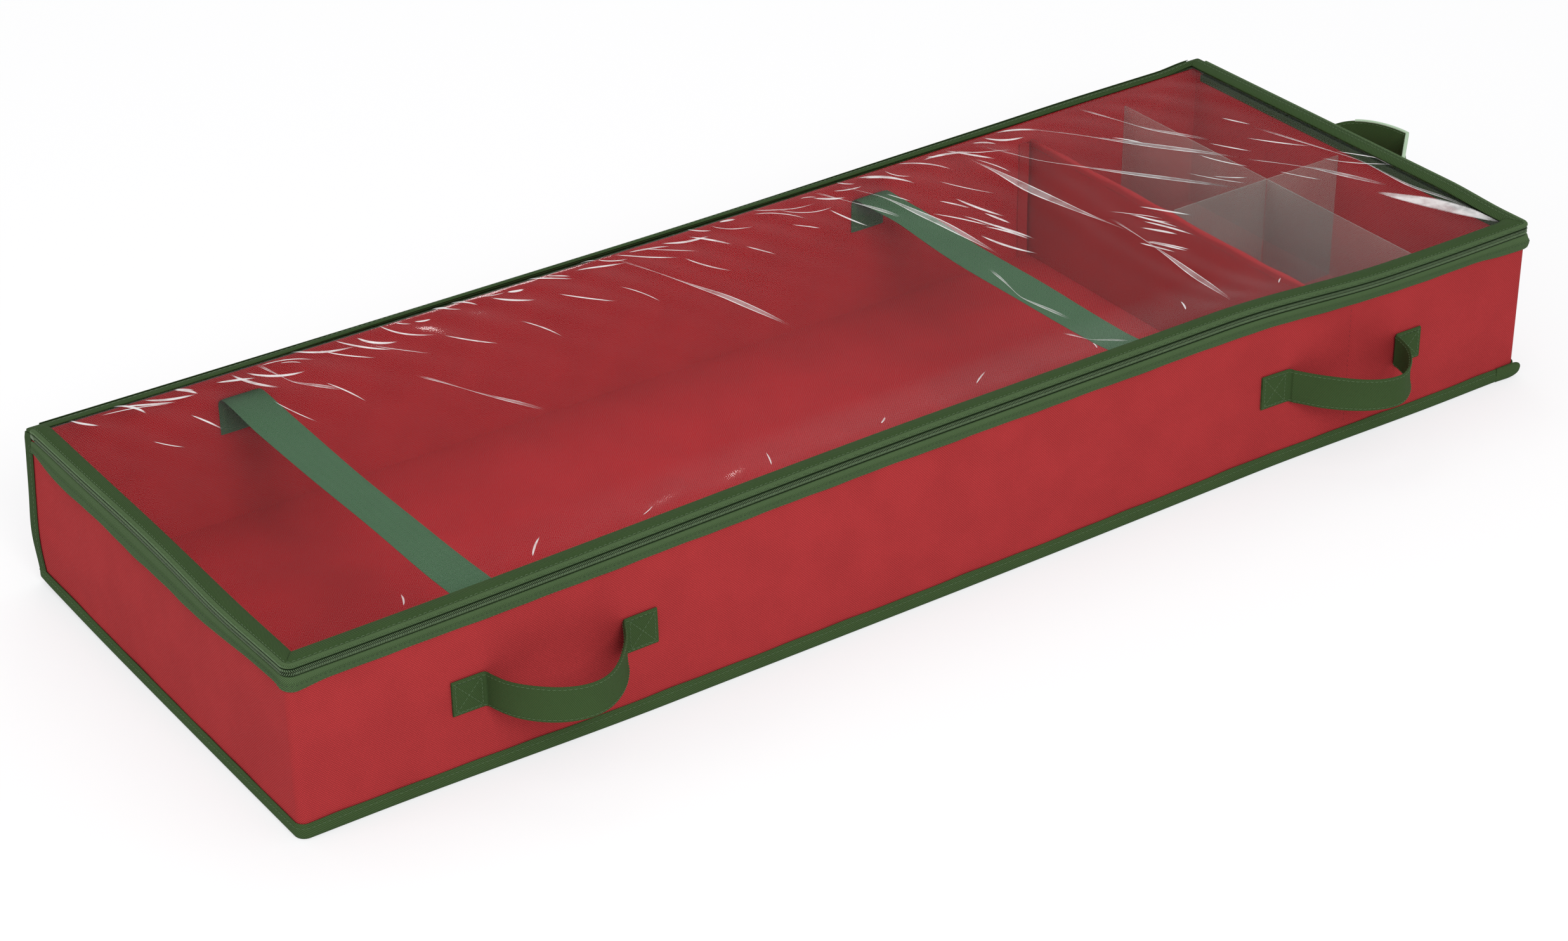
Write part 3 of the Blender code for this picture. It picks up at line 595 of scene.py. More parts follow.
def settled(points: Array) -> Array:
    """Moves points as the soft box has settled, so that all its pieces stay together.

    Each wall bows outwards along its length, the front most at its foot and the others at half their
    height, and the bow fades to nothing inside the wall. The front's top edge is arched up and its
    right end splays forwards, the back's top edge sags, and the left rear corner swells and lifts its
    foot. The lid's right edge stands a little proud. The right end's zip stays true, because the
    slider runs there.

    Args:
        points: an array whose last axis is x, y, z.

    Returns:
        The moved points.
    """
    by = SETTLING
    x, y, z = points[..., 0], points[..., 1], points[..., 2]
    along = np.clip(x / SIZES.half_length, -1, 1)
    across = np.clip(y / SIZES.half_depth, -1, 1)
    rise = np.clip(z / SIZES.height, 0, 1.1)
    front = eased((-across - 0.6) / 0.4)
    back = eased((across - 0.6) / 0.4)
    left = eased((-x - 0.492) / 0.018)
    right = eased((along - 0.85) / 0.15)
    long_arch, short_arch = 1 - along**2, 1 - across**2
    belly = np.sin(np.pi * np.clip(rise, 0, 1))
    ripple = np.sin(17.0 * x + 0.6) * 0.55 + np.sin(41.0 * x + 2.1) * 0.25
    front_bell = eased((x + 0.47) / 0.22) * eased((0.50 - x) / 0.55)
    moved = np.array(points, float)
    front_belly = long_arch * belly * (by.front_belly + by.front_ripple * ripple)
    moved[..., 1] -= front * (front_bell * by.front_foot * np.clip(1 - rise, 0, 1) + front_belly)
    moved[..., 1] += back * long_arch * by.back_belly * belly
    bow = by.left_bow * bell((y + 0.105) / 0.050) - by.left_dent * bell((y - 0.020) / 0.060)
    swell = by.left_swell * bell((z - 0.042) / 0.030)
    swell += by.left_upper_swell * bell((z - 0.085) / 0.030)
    swell *= bell((y - SIZES.half_depth) / 0.030)
    moved[..., 0] -= left * (short_arch * (by.left_least + by.end_belly * belly) + bow * rise**2 + swell)
    moved[..., 0] += right * short_arch * by.end_belly * belly * eased((0.85 - rise) / 0.3)
    level = eased((0.78 - along) / 0.2)
    moved[..., 2] -= back * long_arch * level * by.back_dip * rise**2
    arched = by.front_arch * eased((x + 0.50) / 0.50) * eased((0.38 - x) / 0.16)
    moved[..., 2] += front * arched * rise**1.5
    by_zip = eased((x - 0.497) / 0.008) * eased((z - 0.090) / 0.015)
    splay = front * (1 - by_zip) + eased((-y - 0.171) / 0.008) * by_zip
    moved[..., 1] -= by.front_splay * eased((x - 0.25) / 0.20) * splay
    moved[..., 2] -= by.back_sag * eased((0.46 - x) / 0.52) * eased((y - 0.166) / 0.019) * rise**2
    foot = np.exp(-np.clip(SIZES.half_depth - y, 0, 1) / 0.045) * eased((-x - 0.44) / 0.07)
    foot = foot * np.clip(1 - rise, 0, 1) ** 2
    moved[..., 2] += by.foot_lift * foot
    moved[..., 1] += by.foot_spread * foot
    proud = eased((x - 0.470) / 0.030) * eased((z - 0.1246) / 0.0016) * eased((y + 0.165) / 0.06)
    moved[..., 2] += by.lid_lift * proud
    return moved


def grid_faces(rows: int, columns: int, row_loop: bool, column_loop: bool) -> Array:
    """Returns the quads of a grid of points, numbered row by row.

    Args:
        rows: the number of rows of points.
        columns: the number of columns of points.
        row_loop: whether the last row joins the first.
        column_loop: whether the last column joins the first.

    Returns:
        An array with four point numbers for each quad.
    """
    i = np.arange(rows if row_loop else rows - 1)[:, None]
    j = np.arange(columns if column_loop else columns - 1)[None, :]
    i2, j2 = (i + 1) % rows, (j + 1) % columns
    quads = np.stack(np.broadcast_arrays(i * columns + j, i * columns + j2, i2 * columns + j2, i2 * columns + j), -1)
    return quads.reshape(-1, 4)


def grid_uv(down: Array, along: Array) -> Array:
    """Returns the UV corners of a grid's quads, in the order of grid_faces.

    Args:
        down: the V of each row, with one more where the rows close.
        along: the U of each column, with one more where the columns close.

    Returns:
        An array with four UV points for each quad.
    """
    v0, v1 = down[:-1, None], down[1:, None]
    u0, u1 = along[None, :-1], along[None, 1:]
    corners = [np.stack(np.broadcast_arrays(u, v), -1) for u, v in ((u0, v0), (u1, v0), (u1, v1), (u0, v1))]
    return np.stack(corners, 2).reshape(-1, 4, 2)


@dataclass
class Patch:
    """Quads with their UV corners, and ngons that close their ends."""

    points: Array
    quads: Array
    uv: Array
    caps: list = field(default_factory=list)

    def moved(self, move: Move) -> "Patch":
        """Returns the patch with its points passed through a function."""
        return Patch(move(self.points), self.quads, self.uv, self.caps)


def tube(points: Array, down: Array, along: Array, closed: bool = False, capped: bool = True) -> Patch:
    """Returns a patch from a grid of points whose last row joins the first.

    Args:
        points: rows by columns by x, y, z.
        down: the V of each row.
        along: the U of each column.
        closed: whether the last column joins the first too.
        capped: whether the ends of an open tube are closed by an ngon each.

    Returns:
        The patch.
    """
    rows, columns = points.shape[:2]
    ring = np.arange(rows) * columns
    caps = [ring.tolist(), (ring + columns - 1).tolist()] if capped and not closed else []
    return Patch(points.reshape(-1, 3), grid_faces(rows, columns, True, closed), grid_uv(down, along), caps)


def lattice(x: Numbers, y: Numbers, z: Numbers) -> Array:
    """Returns a grid of points from their x, y and z, which spread to one shape."""
    return np.stack(np.broadcast_arrays(x, y, z), -1).astype(float)


def unit(vectors: Array) -> Array:
    """Returns vectors with a length of 1."""
    return vectors / np.maximum(np.linalg.norm(vectors, axis=-1, keepdims=True), 1e-9)


def squared(value: Array, power: float) -> Array:
    """Returns the size of a value raised to a power, with its sign: it makes a circle a rounded square."""
    return np.sign(value) * np.abs(value) ** power


def circle(count: int) -> Array:
    """Returns angles evenly round a circle."""
    return np.linspace(0, 2 * np.pi, count, endpoint=False)


def repeated(template: Array, count: int, step: int) -> Array:
    """Returns the quads of many equal pieces, each with its points a step further on."""
    return (template[None] + (np.arange(count) * step)[:, None, None]).reshape(-1, 4)


def joined(patches: Sequence[Patch]) -> Patch:
    """Returns several patches as one.

    Args:
        patches: the patches.

    Returns:
        One patch that holds them all.
    """
    starts = np.cumsum([0] + [len(patch.points) for patch in patches[:-1]])
    return Patch(
        np.concatenate([patch.points for patch in patches]),
        np.concatenate([patch.quads + start for patch, start in zip(patches, starts)]),
        np.concatenate([patch.uv for patch in patches]),
        [[index + int(start) for index in cap] for patch, start in zip(patches, starts) for cap in patch.caps],
    )


def make_piece(name: str, patch: Patch, finish: str, sharp: float = 50.0) -> Piece:
    """Puts a patch into a mesh object that sits at the origin, with its faces pointing outwards.

    Args:
        name: the piece's name.
        patch: its quads, caps and UV corners.
        finish: the name of its finish.
        sharp: the angle in degrees past which an edge isn't smoothed.

    Returns:
        The object.
    """
    mesh = bpy.data.meshes.new(name)
    mesh.from_pydata(patch.points.tolist(), [], patch.quads.tolist() + patch.caps)
    layer = mesh.uv_layers.new(name="Cut")
    corners = np.zeros((len(mesh.loops), 2), np.float32)
    corners[: patch.uv.shape[0] * 4] = patch.uv.reshape(-1, 2)
    layer.data.foreach_set("uv", corners.ravel())
    shape = bmesh.new()
    shape.from_mesh(mesh)
    bmesh.ops.recalc_face_normals(shape, faces=shape.faces)
    shape.to_mesh(mesh)
    shape.free()
    mesh.polygons.foreach_set("use_smooth", np.ones(len(mesh.polygons), bool))
    mesh.set_sharp_from_angle(angle=math.radians(sharp))
    mesh.materials.append(FINISHES.get(finish))
    piece = bpy.data.objects.new(name, mesh)
    bpy.context.scene.collection.objects.link(piece)
    return piece


def carried(pieces: list[Piece], body: str) -> list[Piece]:
    """Rides pieces on a body and returns them.

    Args:
        pieces: the pieces.
        body: the body's name.

    Returns:
        The same pieces.
    """
    for piece in pieces:
        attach(piece, body)
    return pieces


def run_length(points: Array) -> Array:
    """Returns the distance along a line of points, from 0 at the first."""
    steps = np.linalg.norm(np.diff(points, axis=0), axis=1)
    return np.concatenate([[0.0], np.cumsum(steps)])


def round_run(profile: Array) -> Array:
    """Returns the distance round a closed profile, back to its first point."""
    return run_length(np.concatenate([profile, profile[:1]]))


def read_along(values: Array, run: Array, where: Array) -> Array:
    """Returns the values of a line's points at distances along it, read between the points."""
    return np.stack([np.interp(where, run, column) for column in values.T], -1)


def dense(line: Array, step: float = 0.002) -> Array:
    """Returns a line with points no further apart than a step."""
    run = run_length(line)
    return read_along(line, run, np.linspace(0, run[-1], max(2, int(run[-1] / step) + 1)))


def band(count: int) -> tuple[Array, Array]:
    """Returns places from -1 to 1 across a band, out over its front and back over its rear, and each place's face."""
    return np.concatenate([np.linspace(-1, 1, count), np.linspace(1, -1, count)]), np.repeat([1.0, -1.0], count)


def thin_sheet(top: Array, under: Array, x: Array, y: Array, edge: float) -> Patch:
    """Returns a settled sheet from its two faces' points, its columns' and rows' places and its thickness."""
    down = np.concatenate([y, y[-1] + edge + (y - y[0]), [2 * (y[-1] - y[0]) + 0.001]])
    return tube(settled(np.concatenate([top, under[::-1]])), down, x)


@dataclass(frozen=True)
class WallPlan:
    """The plan of a strip that runs round the box.

    A plan is a row of straight runs and quarter circles. At an offset outside the wall's face each
    quarter circle keeps its centre, so plans at all offsets lie inside one another.
    """

    rear: float
    closed: bool = False
    rear_radius: float = 0.0015
    spacing: float = 0.008
    corner_steps: int = 8
    right_only: bool = False

    def lines(self, offsets: Array) -> Array:
        """Returns the plan at each offset.

        Args:
            offsets: distances outside the wall's face.

        Returns:
            An array of offsets by points by x and y.
        """
        offset = np.asarray(offsets, float)[:, None]
        half_x, front = SIZES.half_length + offset, -SIZES.half_depth - offset
        back = self.rear + (offset if self.closed else 0.0)
        radius = np.maximum(SIZES.corner_radius + offset, 0.0003)
        rear_radius = np.maximum(self.rear_radius + offset, 0.0003) if self.closed else 0.0
        deep = np.linspace(0, 1, max(2, int(2 * SIZES.half_depth / self.spacing)))[None, :]
        wide = np.linspace(0, 1, max(2, int(2 * SIZES.half_length / self.spacing)))[None, :]
        turn = np.linspace(0, math.pi / 2, self.corner_steps + 1)[None, 1:-1]

        def straight(x0: Array, y0: Array, x1: Array, y1: Array, share: Array) -> Array:
            """Returns a straight run between two places."""
            return np.stack(np.broadcast_arrays(x0 + (x1 - x0) * share, y0 + (y1 - y0) * share), -1)

        def arc(centre_x: Array, centre_y: Array, size: Array, start: float) -> Array:
            """Returns the inner points of a quarter circle from its start angle."""
            return np.stack([centre_x + size * np.cos(start + turn), centre_y + size * np.sin(start + turn)], -1)

        right = straight(half_x, front + radius, half_x, back - rear_radius, deep)
        if self.right_only:
            return right
        left = straight(-half_x, back - rear_radius, -half_x, front + radius, deep)
        left_corner = arc(-half_x + radius, front + radius, radius, math.pi)
        face = straight(-half_x + radius, front, half_x - radius, front, wide)
        right_corner = arc(half_x - radius, front + radius, radius, -math.pi / 2)
        runs = [left, left_corner, face, right_corner, right]
        if not self.closed:
            return np.concatenate(runs, axis=1)
        right_rear = arc(half_x - rear_radius, back - rear_radius, rear_radius, 0.0)
        tail = straight(half_x - rear_radius, back, -half_x + rear_radius, back, wide)
        left_rear = arc(-half_x + rear_radius, back - rear_radius, rear_radius, math.pi / 2)
        return np.concatenate([*runs, right_rear, tail, left_rear], axis=1)

    def run(self) -> Array:
        """Returns the distance along the plan at the wall's face, with one more where it closes.

        Returns:
            The distances.
        """
        line = self.lines(np.array([0.0]))[0]
        if self.closed:
            line = np.concatenate([line, line[:1]])
        return run_length(line)

    def sweep(
        self, profile: Array, wobble: Optional[Callable[[Array, Array], Array]] = None, shape: Optional[Move] = None,
    ) -> Patch:
        """Carries a closed profile of (offset, level) points round the plan.

        Args:
            profile: the profile's points in order.
            wobble: gives a change of level from the run and the profile's share, or None.
            shape: moves the points before they settle, or None.

        Returns:
            The patch.
        """
        plan = self.lines(profile[:, 0])
        levels, run = profile[:, 1:], self.run()
        if wobble is not None:
            levels = levels + wobble(run[None, : plan.shape[1]], np.linspace(0, 1, len(profile))[:, None])
        points = lattice(plan[..., 0], plan[..., 1], levels)
        points = settled(points if shape is None else shape(points))
        return tube(points, round_run(profile), run, self.closed)

    def line(self, offset: float, level: float, shape: Optional[Move] = None) -> Array:
        """Returns the settled line that runs at one offset and level.

        Args:
            offset: the distance outside the wall's face.
            level: the level.
            shape: moves the points before they settle, or None.

        Returns:
            The line's points.
        """
        points = lattice(*self.lines(np.array([offset]))[0].T, level)
        if self.closed:
            points = np.concatenate([points, points[:1]])
        return settled(points if shape is None else shape(points))


def rounded(profile: Sequence[Span], radius: float, steps: int = 3) -> Array:
    """Rounds the corners of a closed profile with parabolas.

    Args:
        profile: the corners.
        radius: how far along each side a corner's rounding reaches, at most 45% of that side.
        steps: the number of points in each rounded corner, less one.

    Returns:
        The rounded profile.
    """
    corners = np.array(profile, float)
    before, after = np.roll(corners, 1, axis=0), np.roll(corners, -1, axis=0)
    t = np.linspace(0, 1, steps + 1)[None, :, None]

    def pulled(towards: Array) -> Array:
        """Returns the place on the side towards a neighbour where the rounding starts.

        Args:
            towards: each corner's neighbour.

        Returns:
            The places.
        """
        side = towards - corners
        length = np.linalg.norm(side, axis=1, keepdims=True)
        return corners + side / np.maximum(length, 1e-9) * np.minimum(radius, 0.45 * length)

    start, end = pulled(before)[:, None], pulled(after)[:, None]
    curve = (1 - t) ** 2 * start + 2 * t * (1 - t) * corners[:, None] + t**2 * end
    return curve.reshape(-1, 2)


def stitches(
    line: Array, up: Array, pitch: float = 0.0036, length: float = 0.0024, thick: float = 0.00042,
    lift: float = 0.00012, lean: float = 0.0,
) -> Patch:
    """Returns a row of stitches along a line.

    Each stitch is a small arch of four rings with five points each: it dips under the cloth at both
    ends and stands a little proud between them.

    Args:
        line: the points that the stitches follow.
        up: the cloth's outward direction, one for all or one for each point of the line.
        pitch: the distance from stitch to stitch.
        length: the length of a stitch.
        thick: the thread's thickness.
        lift: how far its middle stands above the line.
        lean: a sideways slant of each stitch.

    Returns:
        The patch with all the stitches.
    """
    run = run_length(line)
    count = max(1, int((run[-1] - length) / pitch) + 1)
    start = (run[-1] - (count - 1) * pitch - length) / 2 + np.arange(count) * pitch
    shares = np.array([0.0, 0.3, 0.7, 1.0])
    at = start[:, None] + shares[None, :] * length
    ups = np.broadcast_to(np.asarray(up, float), line.shape)
    near = 0.0002
    centres, normals = read_along(line, run, at), unit(read_along(ups, run, at))
    ahead, behind = np.minimum(at + near, run[-1]), np.maximum(at - near, 0.0)
    tangents = unit(read_along(line, run, ahead) - read_along(line, run, behind))
    sides = np.cross(tangents, normals)
    heights = np.array([-0.5, 1.0, 1.0, -0.5]) * lift + np.array([-0.45, 0.0, 0.0, -0.45]) * thick
    centres = centres + normals * heights[None, :, None] + sides * ((shares - 0.5) * lean)[None, :, None]
    angles = circle(5)
    size = thick / 2 * np.array([0.6, 1.0, 1.0, 0.6])
    ring = np.cos(angles)[:, None] * sides[:, :, None, :] + np.sin(angles)[:, None] * normals[:, :, None, :]
    points = centres[:, :, None, :] + ring * size[None, :, None, None]
    quads = repeated(grid_faces(4, 5, False, True), count, 20)
    return Patch(points.reshape(-1, 3), quads, np.zeros((len(quads), 4, 2)))


@dataclass
class CaseShell:
    """The red fabric of the case, outside and inside."""

    ripple: float = 0.0002
    base_ripple: float = 0.00012
    floor_ripple: float = 0.00022
    floor_fold: float = 0.00035
    seam_puff: float = 0.0008
    rise_to_hinge: float = 0.0034

    def wall_profile(self, outer: float, inner: float, low: float, high: float, rows: int) -> Array:
        """Returns the profile of a thin strip between two offsets and two levels, with many rows on both faces."""
        up = np.linspace(low, high, rows)
        return np.stack([np.repeat([outer, inner], rows), np.concatenate([up, up[::-1]])], 1)

    def outer_walls(self) -> Piece:
        """Makes the strip folded round three walls, puffed out on both sides of the divider's front seam.

        The puff is a bell curve across, ripples a little and fades at both ends. The seam is a narrow
        groove in it, a bell curve too.

        Returns:
            The piece.
        """
        plan = WallPlan(rear=SIZES.half_depth - SIZES.fabric - SIZES.gap, spacing=0.0035)
        patch = plan.sweep(self.wall_profile(0.0, -SIZES.fabric, SIZES.wall_foot, SIZES.wall_top, 30))

        def drawn_in(points: Array) -> Array:
            """Puffs the fabric out beside the seam, which stays where it is.

            Args:
                points: the strip's points.

            Returns:
                The moved points.
            """
            x, y, z = points[:, 0], points[:, 1], points[:, 2]
            near = x - SIZES.divider_x
            on_front = eased((-y - SIZES.half_depth + 0.004) / 0.003)
            fade = eased((z - 0.008) / 0.015) * eased((0.112 - z) / 0.02)
            swell = self.seam_puff * bell(near / 0.016) * (1 + 0.5 * np.sin(z * 210.0 + near * 90.0))
            groove = 1 - bell(near / 0.0022)
            moved = points.copy()
            moved[:, 1] -= on_front * fade * swell * groove
            return moved

        piece = make_piece("side_walls", patch.moved(drawn_in), "red_nonwoven")
        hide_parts("side_wall_fabric")
        return piece

    def divider_seam(self) -> Piece:
        """Makes the red stitches of the divider's seam on the front wall.

        Returns:
            The piece.
        """
        z = np.linspace(0.014, 0.108, 40)
        line = settled(lattice(SIZES.divider_x, -SIZES.half_depth, z))
        return make_piece("divider_seam", stitches(line, (0, -1, 0), 0.0040, 0.0031, 0.00042, 0.0), "red_thread")

    def back_wall(self) -> Piece:
        """Makes the back wall's outer fabric: a flat sheet with slow ripples.

        Returns:
            The piece.
        """
        x, inner = np.linspace(-SIZES.half_length, SIZES.half_length, 200), SIZES.half_depth - SIZES.fabric
        profile = self.wall_profile(SIZES.half_depth, inner, SIZES.wall_foot, SIZES.back_top, 24)
        grid = lattice(x, profile[:, :1], profile[:, 1:])
        points = settled(grid)
        points[..., 1] -= self.ripple * (1 + np.sin(grid[..., 0] * 34.0) * np.sin(grid[..., 2] * 40.0))
        piece = make_piece("back_wall", tube(points, round_run(profile), x), "red_nonwoven")
        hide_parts("back_wall_fabric")
        return piece

    def base(self) -> Piece:
        """Makes the base fabric: a thin sheet under the box.

        Returns:
            The piece.
        """
        half_x, half_y, rows = SIZES.half_length - 0.0067, SIZES.half_depth - 0.0067, 34
        x, y = np.linspace(-half_x, half_x, 90), np.linspace(-half_y, half_y, rows)
        loop = np.concatenate([y, y[::-1]])
        grid = lattice(x, loop[:, None], np.repeat([0.0, SIZES.fabric], rows)[:, None])
        inside = (1 - (grid[..., 0] / half_x) ** 8) * (1 - (grid[..., 1] / half_y) ** 8)
        grid[..., 2] += inside * self.base_ripple * (1 + np.sin(grid[..., 0] * 47.0) * np.sin(grid[..., 1] * 61.0))
        down = np.linspace(0, 4 * half_y, 2 * rows + 1)
        piece = make_piece("base_sheet", tube(settled(grid), down, x), "red_nonwoven")
        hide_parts("base_fabric")
        return piece

    def inner_walls(self) -> Piece:
        """Makes the lining round the inside of the walls, a thin strip whose top rises to the hinge at the back.

        Returns:
            The piece.
        """
        plan = WallPlan(rear=SIZES.half_depth, closed=True, rear_radius=SIZES.corner_radius, spacing=0.0045)
        low, high = SIZES.fixture_foot - 0.001, SIZES.wall_top
        profile = self.wall_profile(SIZES.lining_outer, SIZES.lining_inner, low, high, 20)

        def up_to_hinge(points: Array) -> Array:
            """Carries the lining's top edge up to the hinge on the back wall.

            Args:
                points: the strip's points.

            Returns:
                The moved points.
            """
            share = eased((points[..., 1] - 0.172) / 0.005) * eased((points[..., 2] - 0.09) / 0.028)
            moved = np.array(points, float)
            moved[..., 2] += self.rise_to_hinge * share
            return moved

        piece = make_piece("wall_lining_cloth", plan.sweep(profile, None, up_to_hinge), "red_lining")
        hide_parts("wall_lining")
        return piece

    def floor(self) -> Piece:
        """Makes the floor lining: slow ripples, and a shallow fold line across at the middle.

        Returns:
            The piece.
        """
        half_x, half_y = (half + SIZES.lining_outer - 0.0006 for half in (SIZES.half_length, SIZES.half_depth))
        x, y = np.linspace(-half_x, half_x, 330), np.linspace(-half_y, half_y, 110)
        grid = lattice(x, y[:, None], SIZES.floor_top)
        along, across = grid[..., 0], grid[..., 1]
        rim = (1 - (along / half_x) ** 30) * (1 - (across / half_y) ** 20)
        swell = np.sin(along * 23.0 + 1.7 * np.sin(across * 9.0)) * np.sin(across * 31.0 + along * 6.0)
        fold = bell(along / 0.0022)
        grid[..., 2] += rim * (self.floor_ripple * swell - self.floor_fold * fold)
        under = grid.copy()
        under[..., 2] = SIZES.floor_low
        piece = make_piece("floor_lining_cloth", thin_sheet(grid, under, x, y, 0.0005), "red_lining")
        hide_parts("floor_lining")
        return piece

    def build(self) -> list[Piece]:
        """Makes all the case's fabric and returns the pieces."""
        outside = [self.outer_walls(), self.divider_seam(), self.back_wall(), self.base()]
        return carried([*outside, self.inner_walls(), self.floor()], "case")


class Boards:
    """The stiffening boards in the fabric, which have settled with it."""

    def board(self, name: str) -> Piece:
        """Makes one board: its box divided finely enough to follow the settled walls.

        Args:
            name: the board's node.

        Returns:
            The piece.
        """
        low, high = (np.array(corner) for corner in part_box(name))
        size = high - low
        thin = int(np.argmin(size))
        first, second = (axis for axis in range(3) if axis != thin)
        columns, rows = 90, 20
        u, v = np.linspace(0, 1, columns), np.linspace(0, 1, rows)
        grid = np.zeros((2 * rows, columns, 3))
        grid[..., first] = low[first] + size[first] * u
        grid[..., second] = low[second] + size[second] * np.concatenate([v, v[::-1]])[:, None]
        grid[..., thin] = np.repeat([low[thin], high[thin]], rows)[:, None]
        down = np.linspace(0, 2 * size[second], 2 * rows + 1)
        piece = make_piece(name + "_card", tube(settled(grid), down, u * size[first]), "chipboard")
        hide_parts(name)
        return piece

    def build(self) -> list[Piece]:
        """Makes the wall boards and the floor board and returns them."""
        names = ("front_wall_board", "back_wall_board", "left_wall_board", "right_wall_board", "floor_board")
        return carried([self.board(name) for name in names], "case")


@dataclass
class CaseBindings:
    """The green bindings of the case, each a folded tape with its row of stitches."""

    foot_height: float = 0.0112
    foot_bulge: float = 0.0021

    def foot(self) -> list[Piece]:
        """Makes the binding round the bottom edge.

        Its profile is a folded tape that swells outwards at the foot, and its upper edge wanders by
        two slow sine waves.

        Returns:
            The tape, its stitches and its loose end.
        """
        plan = WallPlan(rear=SIZES.half_depth, closed=True, rear_radius=0.003, spacing=0.005)
        corners = [
            (-0.0064, 0.0), (0.0010, 0.0001), (self.foot_bulge, 0.0022), (0.0019, 0.0062), (0.0014, 0.0096),
            (0.0013, self.foot_height), (0.0003, self.foot_height), (0.0003, 0.0009), (-0.0064, 0.0007),
        ]

        def wander(run: Array, share: Array) -> Array:
            """Moves the upper edge up and down a little."""
            upper = bell((share - 0.60) / 0.12)
            return upper * (0.0004 * np.sin(run * 52.0) + 0.0003 * np.sin(run * 131.0 + 1.0))

        # The foot binding is in the lighter copy of the binding's green, painted light.
        tape = make_piece("foot_binding", plan.sweep(rounded(corners, 0.0007), wander), "lit_green_foot")
        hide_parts("bottom_binding_front", "bottom_binding_back", "bottom_binding_left", "bottom_binding_right")
        line = dense(plan.line(0.00185, 0.0082))
        side = np.abs(line[:, 0]) > SIZES.half_length - 0.003
        up = np.where(side[:, None], np.sign(line) * [1, 0, 0], np.sign(line) * [0, 1, 0])
        seam = make_piece("foot_binding_seam", stitches(line, up), "thread")
        return [tape, seam, self.loose_end()]

    def loose_end(self) -> Piece:
        """Makes the binding's end, which overhangs the right front corner as a rounded fold.

        The fold is a flattened tube as high as the binding. Its half height and half width shrink
        towards the tip as the root of one less the share to the sixth.

        Returns:
            The piece.
        """
        along = np.linspace(0, 1, 20)
        angle = circle(32)
        closing = np.sqrt(np.clip(1 - (along * 0.99) ** 6, 0, 1))
        thick = (0.0010 + 0.0008 * eased(along / 0.5)) * closing
        x = SIZES.half_length - 0.020 + along * 0.0245
        wide, high = squared(np.cos(angle), 0.6)[:, None], squared(np.sin(angle), 0.6)[:, None]
        y = -SIZES.half_depth - 0.0012 - 0.0006 * eased(along / 0.6) + wide * thick[None, :]
        z = self.foot_height / 2 + 0.0004 + high * closing[None, :] * (self.foot_height / 2 + 0.0001)
        grid = lattice(x, y, z + 0.0006 * (along**2)[None, :])
        patch = tube(settled(grid), np.linspace(0, 0.026, 33), along * 0.0245)
        return make_piece("foot_binding_end", patch, "lit_green_foot")

    def rear_corner(self, side: int) -> list[Piece]:
        """Makes one rear corner's binding: a folded tape round the edge, with a swollen fold.

        Args:
            side: -1 for the left corner and 1 for the right.

        Returns:
            The tape and its two rows of stitches.
        """
        outer_x, outer_y = SIZES.half_length + 0.0013, SIZES.hinge_back + 0.0002
        inner_x, inner_y = SIZES.half_length + 0.0003, SIZES.half_depth + 0.0003
        leg = SIZES.rear_binding
        plan = rounded([
            (outer_x - 0.0003, outer_y - leg), (outer_x, outer_y), (outer_x - leg, outer_y - 0.0002),
            (outer_x - leg, inner_y), (inner_x, inner_y), (inner_x, outer_y - leg),
        ], 0.0028, 5)
        last = 0.118 + 0.0062 * np.sin(np.linspace(0.15, 1, 8) * math.pi / 2)
        z = np.concatenate([np.linspace(0.006, 0.118, 44), last])
        x, y = side * plan[:, 0][:, None], plan[:, 1][:, None]
        wander = 0.0003 * np.sin(z * 120.0 + side)[None, :]
        closing = eased((z - 0.119) / 0.006)[None, :]
        middle_x, middle_y = side * (SIZES.half_length - 0.002), SIZES.half_depth - 0.002
        x = x + (middle_x - x) * 0.18 * closing
        y = y + (middle_y - y) * 0.18 * closing + wander * (np.abs(y - SIZES.hinge_back) > 0.008)
        label = "left" if side < 0 else "right"
        patch = tube(settled(lattice(x, y, z[None, :])), round_run(plan), z)
        tape = make_piece("corner_tape_" + label, patch, "green_binding")
        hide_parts("corner_binding_" + label)
        levels = np.linspace(0.013, 0.117, 60)
        flank = settled(lattice(side * outer_x, outer_y - leg + 0.0026, levels))
        rear = settled(lattice(side * (outer_x - leg + 0.0026), outer_y, levels))
        rows = joined([stitches(flank, (side, 0, 0)), stitches(rear, (0, 1, 0))])
        return [tape, make_piece("corner_seam_" + label, rows, "thread")]

    def hinge_side(self) -> list[Piece]:
        """Makes the binding folded over the back wall's top edge, and its stitches outside.

        Returns:
            The tape and its stitches.
        """
        half = SIZES.half_length + 0.0011 - SIZES.rear_binding - SIZES.gap
        top, outer = SIZES.hinge_top, SIZES.hinge_back
        profile = rounded([
            (outer, top - 0.0142), (outer + 0.0003, top - 0.004), (outer - 0.0002, top), (0.1795, top),
            (0.1795, top - 0.0011), (0.1805, top - 0.0011), (0.1805, top - 0.0008), (0.1842, top - 0.0008),
            (0.1842, top - 0.0142),
        ], 0.0006)
        x = np.linspace(-half, half, 180)
        grid = lattice(x, profile[:, :1], profile[:, 1:])
        low = eased((top - 0.010 - grid[..., 2]) / 0.004)
        grid[..., 2] += low * 0.0004 * np.sin(grid[..., 0] * 57.0)
        tape = make_piece("hinge_tape", tube(settled(grid), round_run(profile), x), "green_binding")
        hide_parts("hinge_binding")
        line = settled(lattice(x, outer + 0.00025, top - 0.0115))
        return [tape, make_piece("hinge_tape_seam", stitches(line, (0, 1, 0)), "thread")]

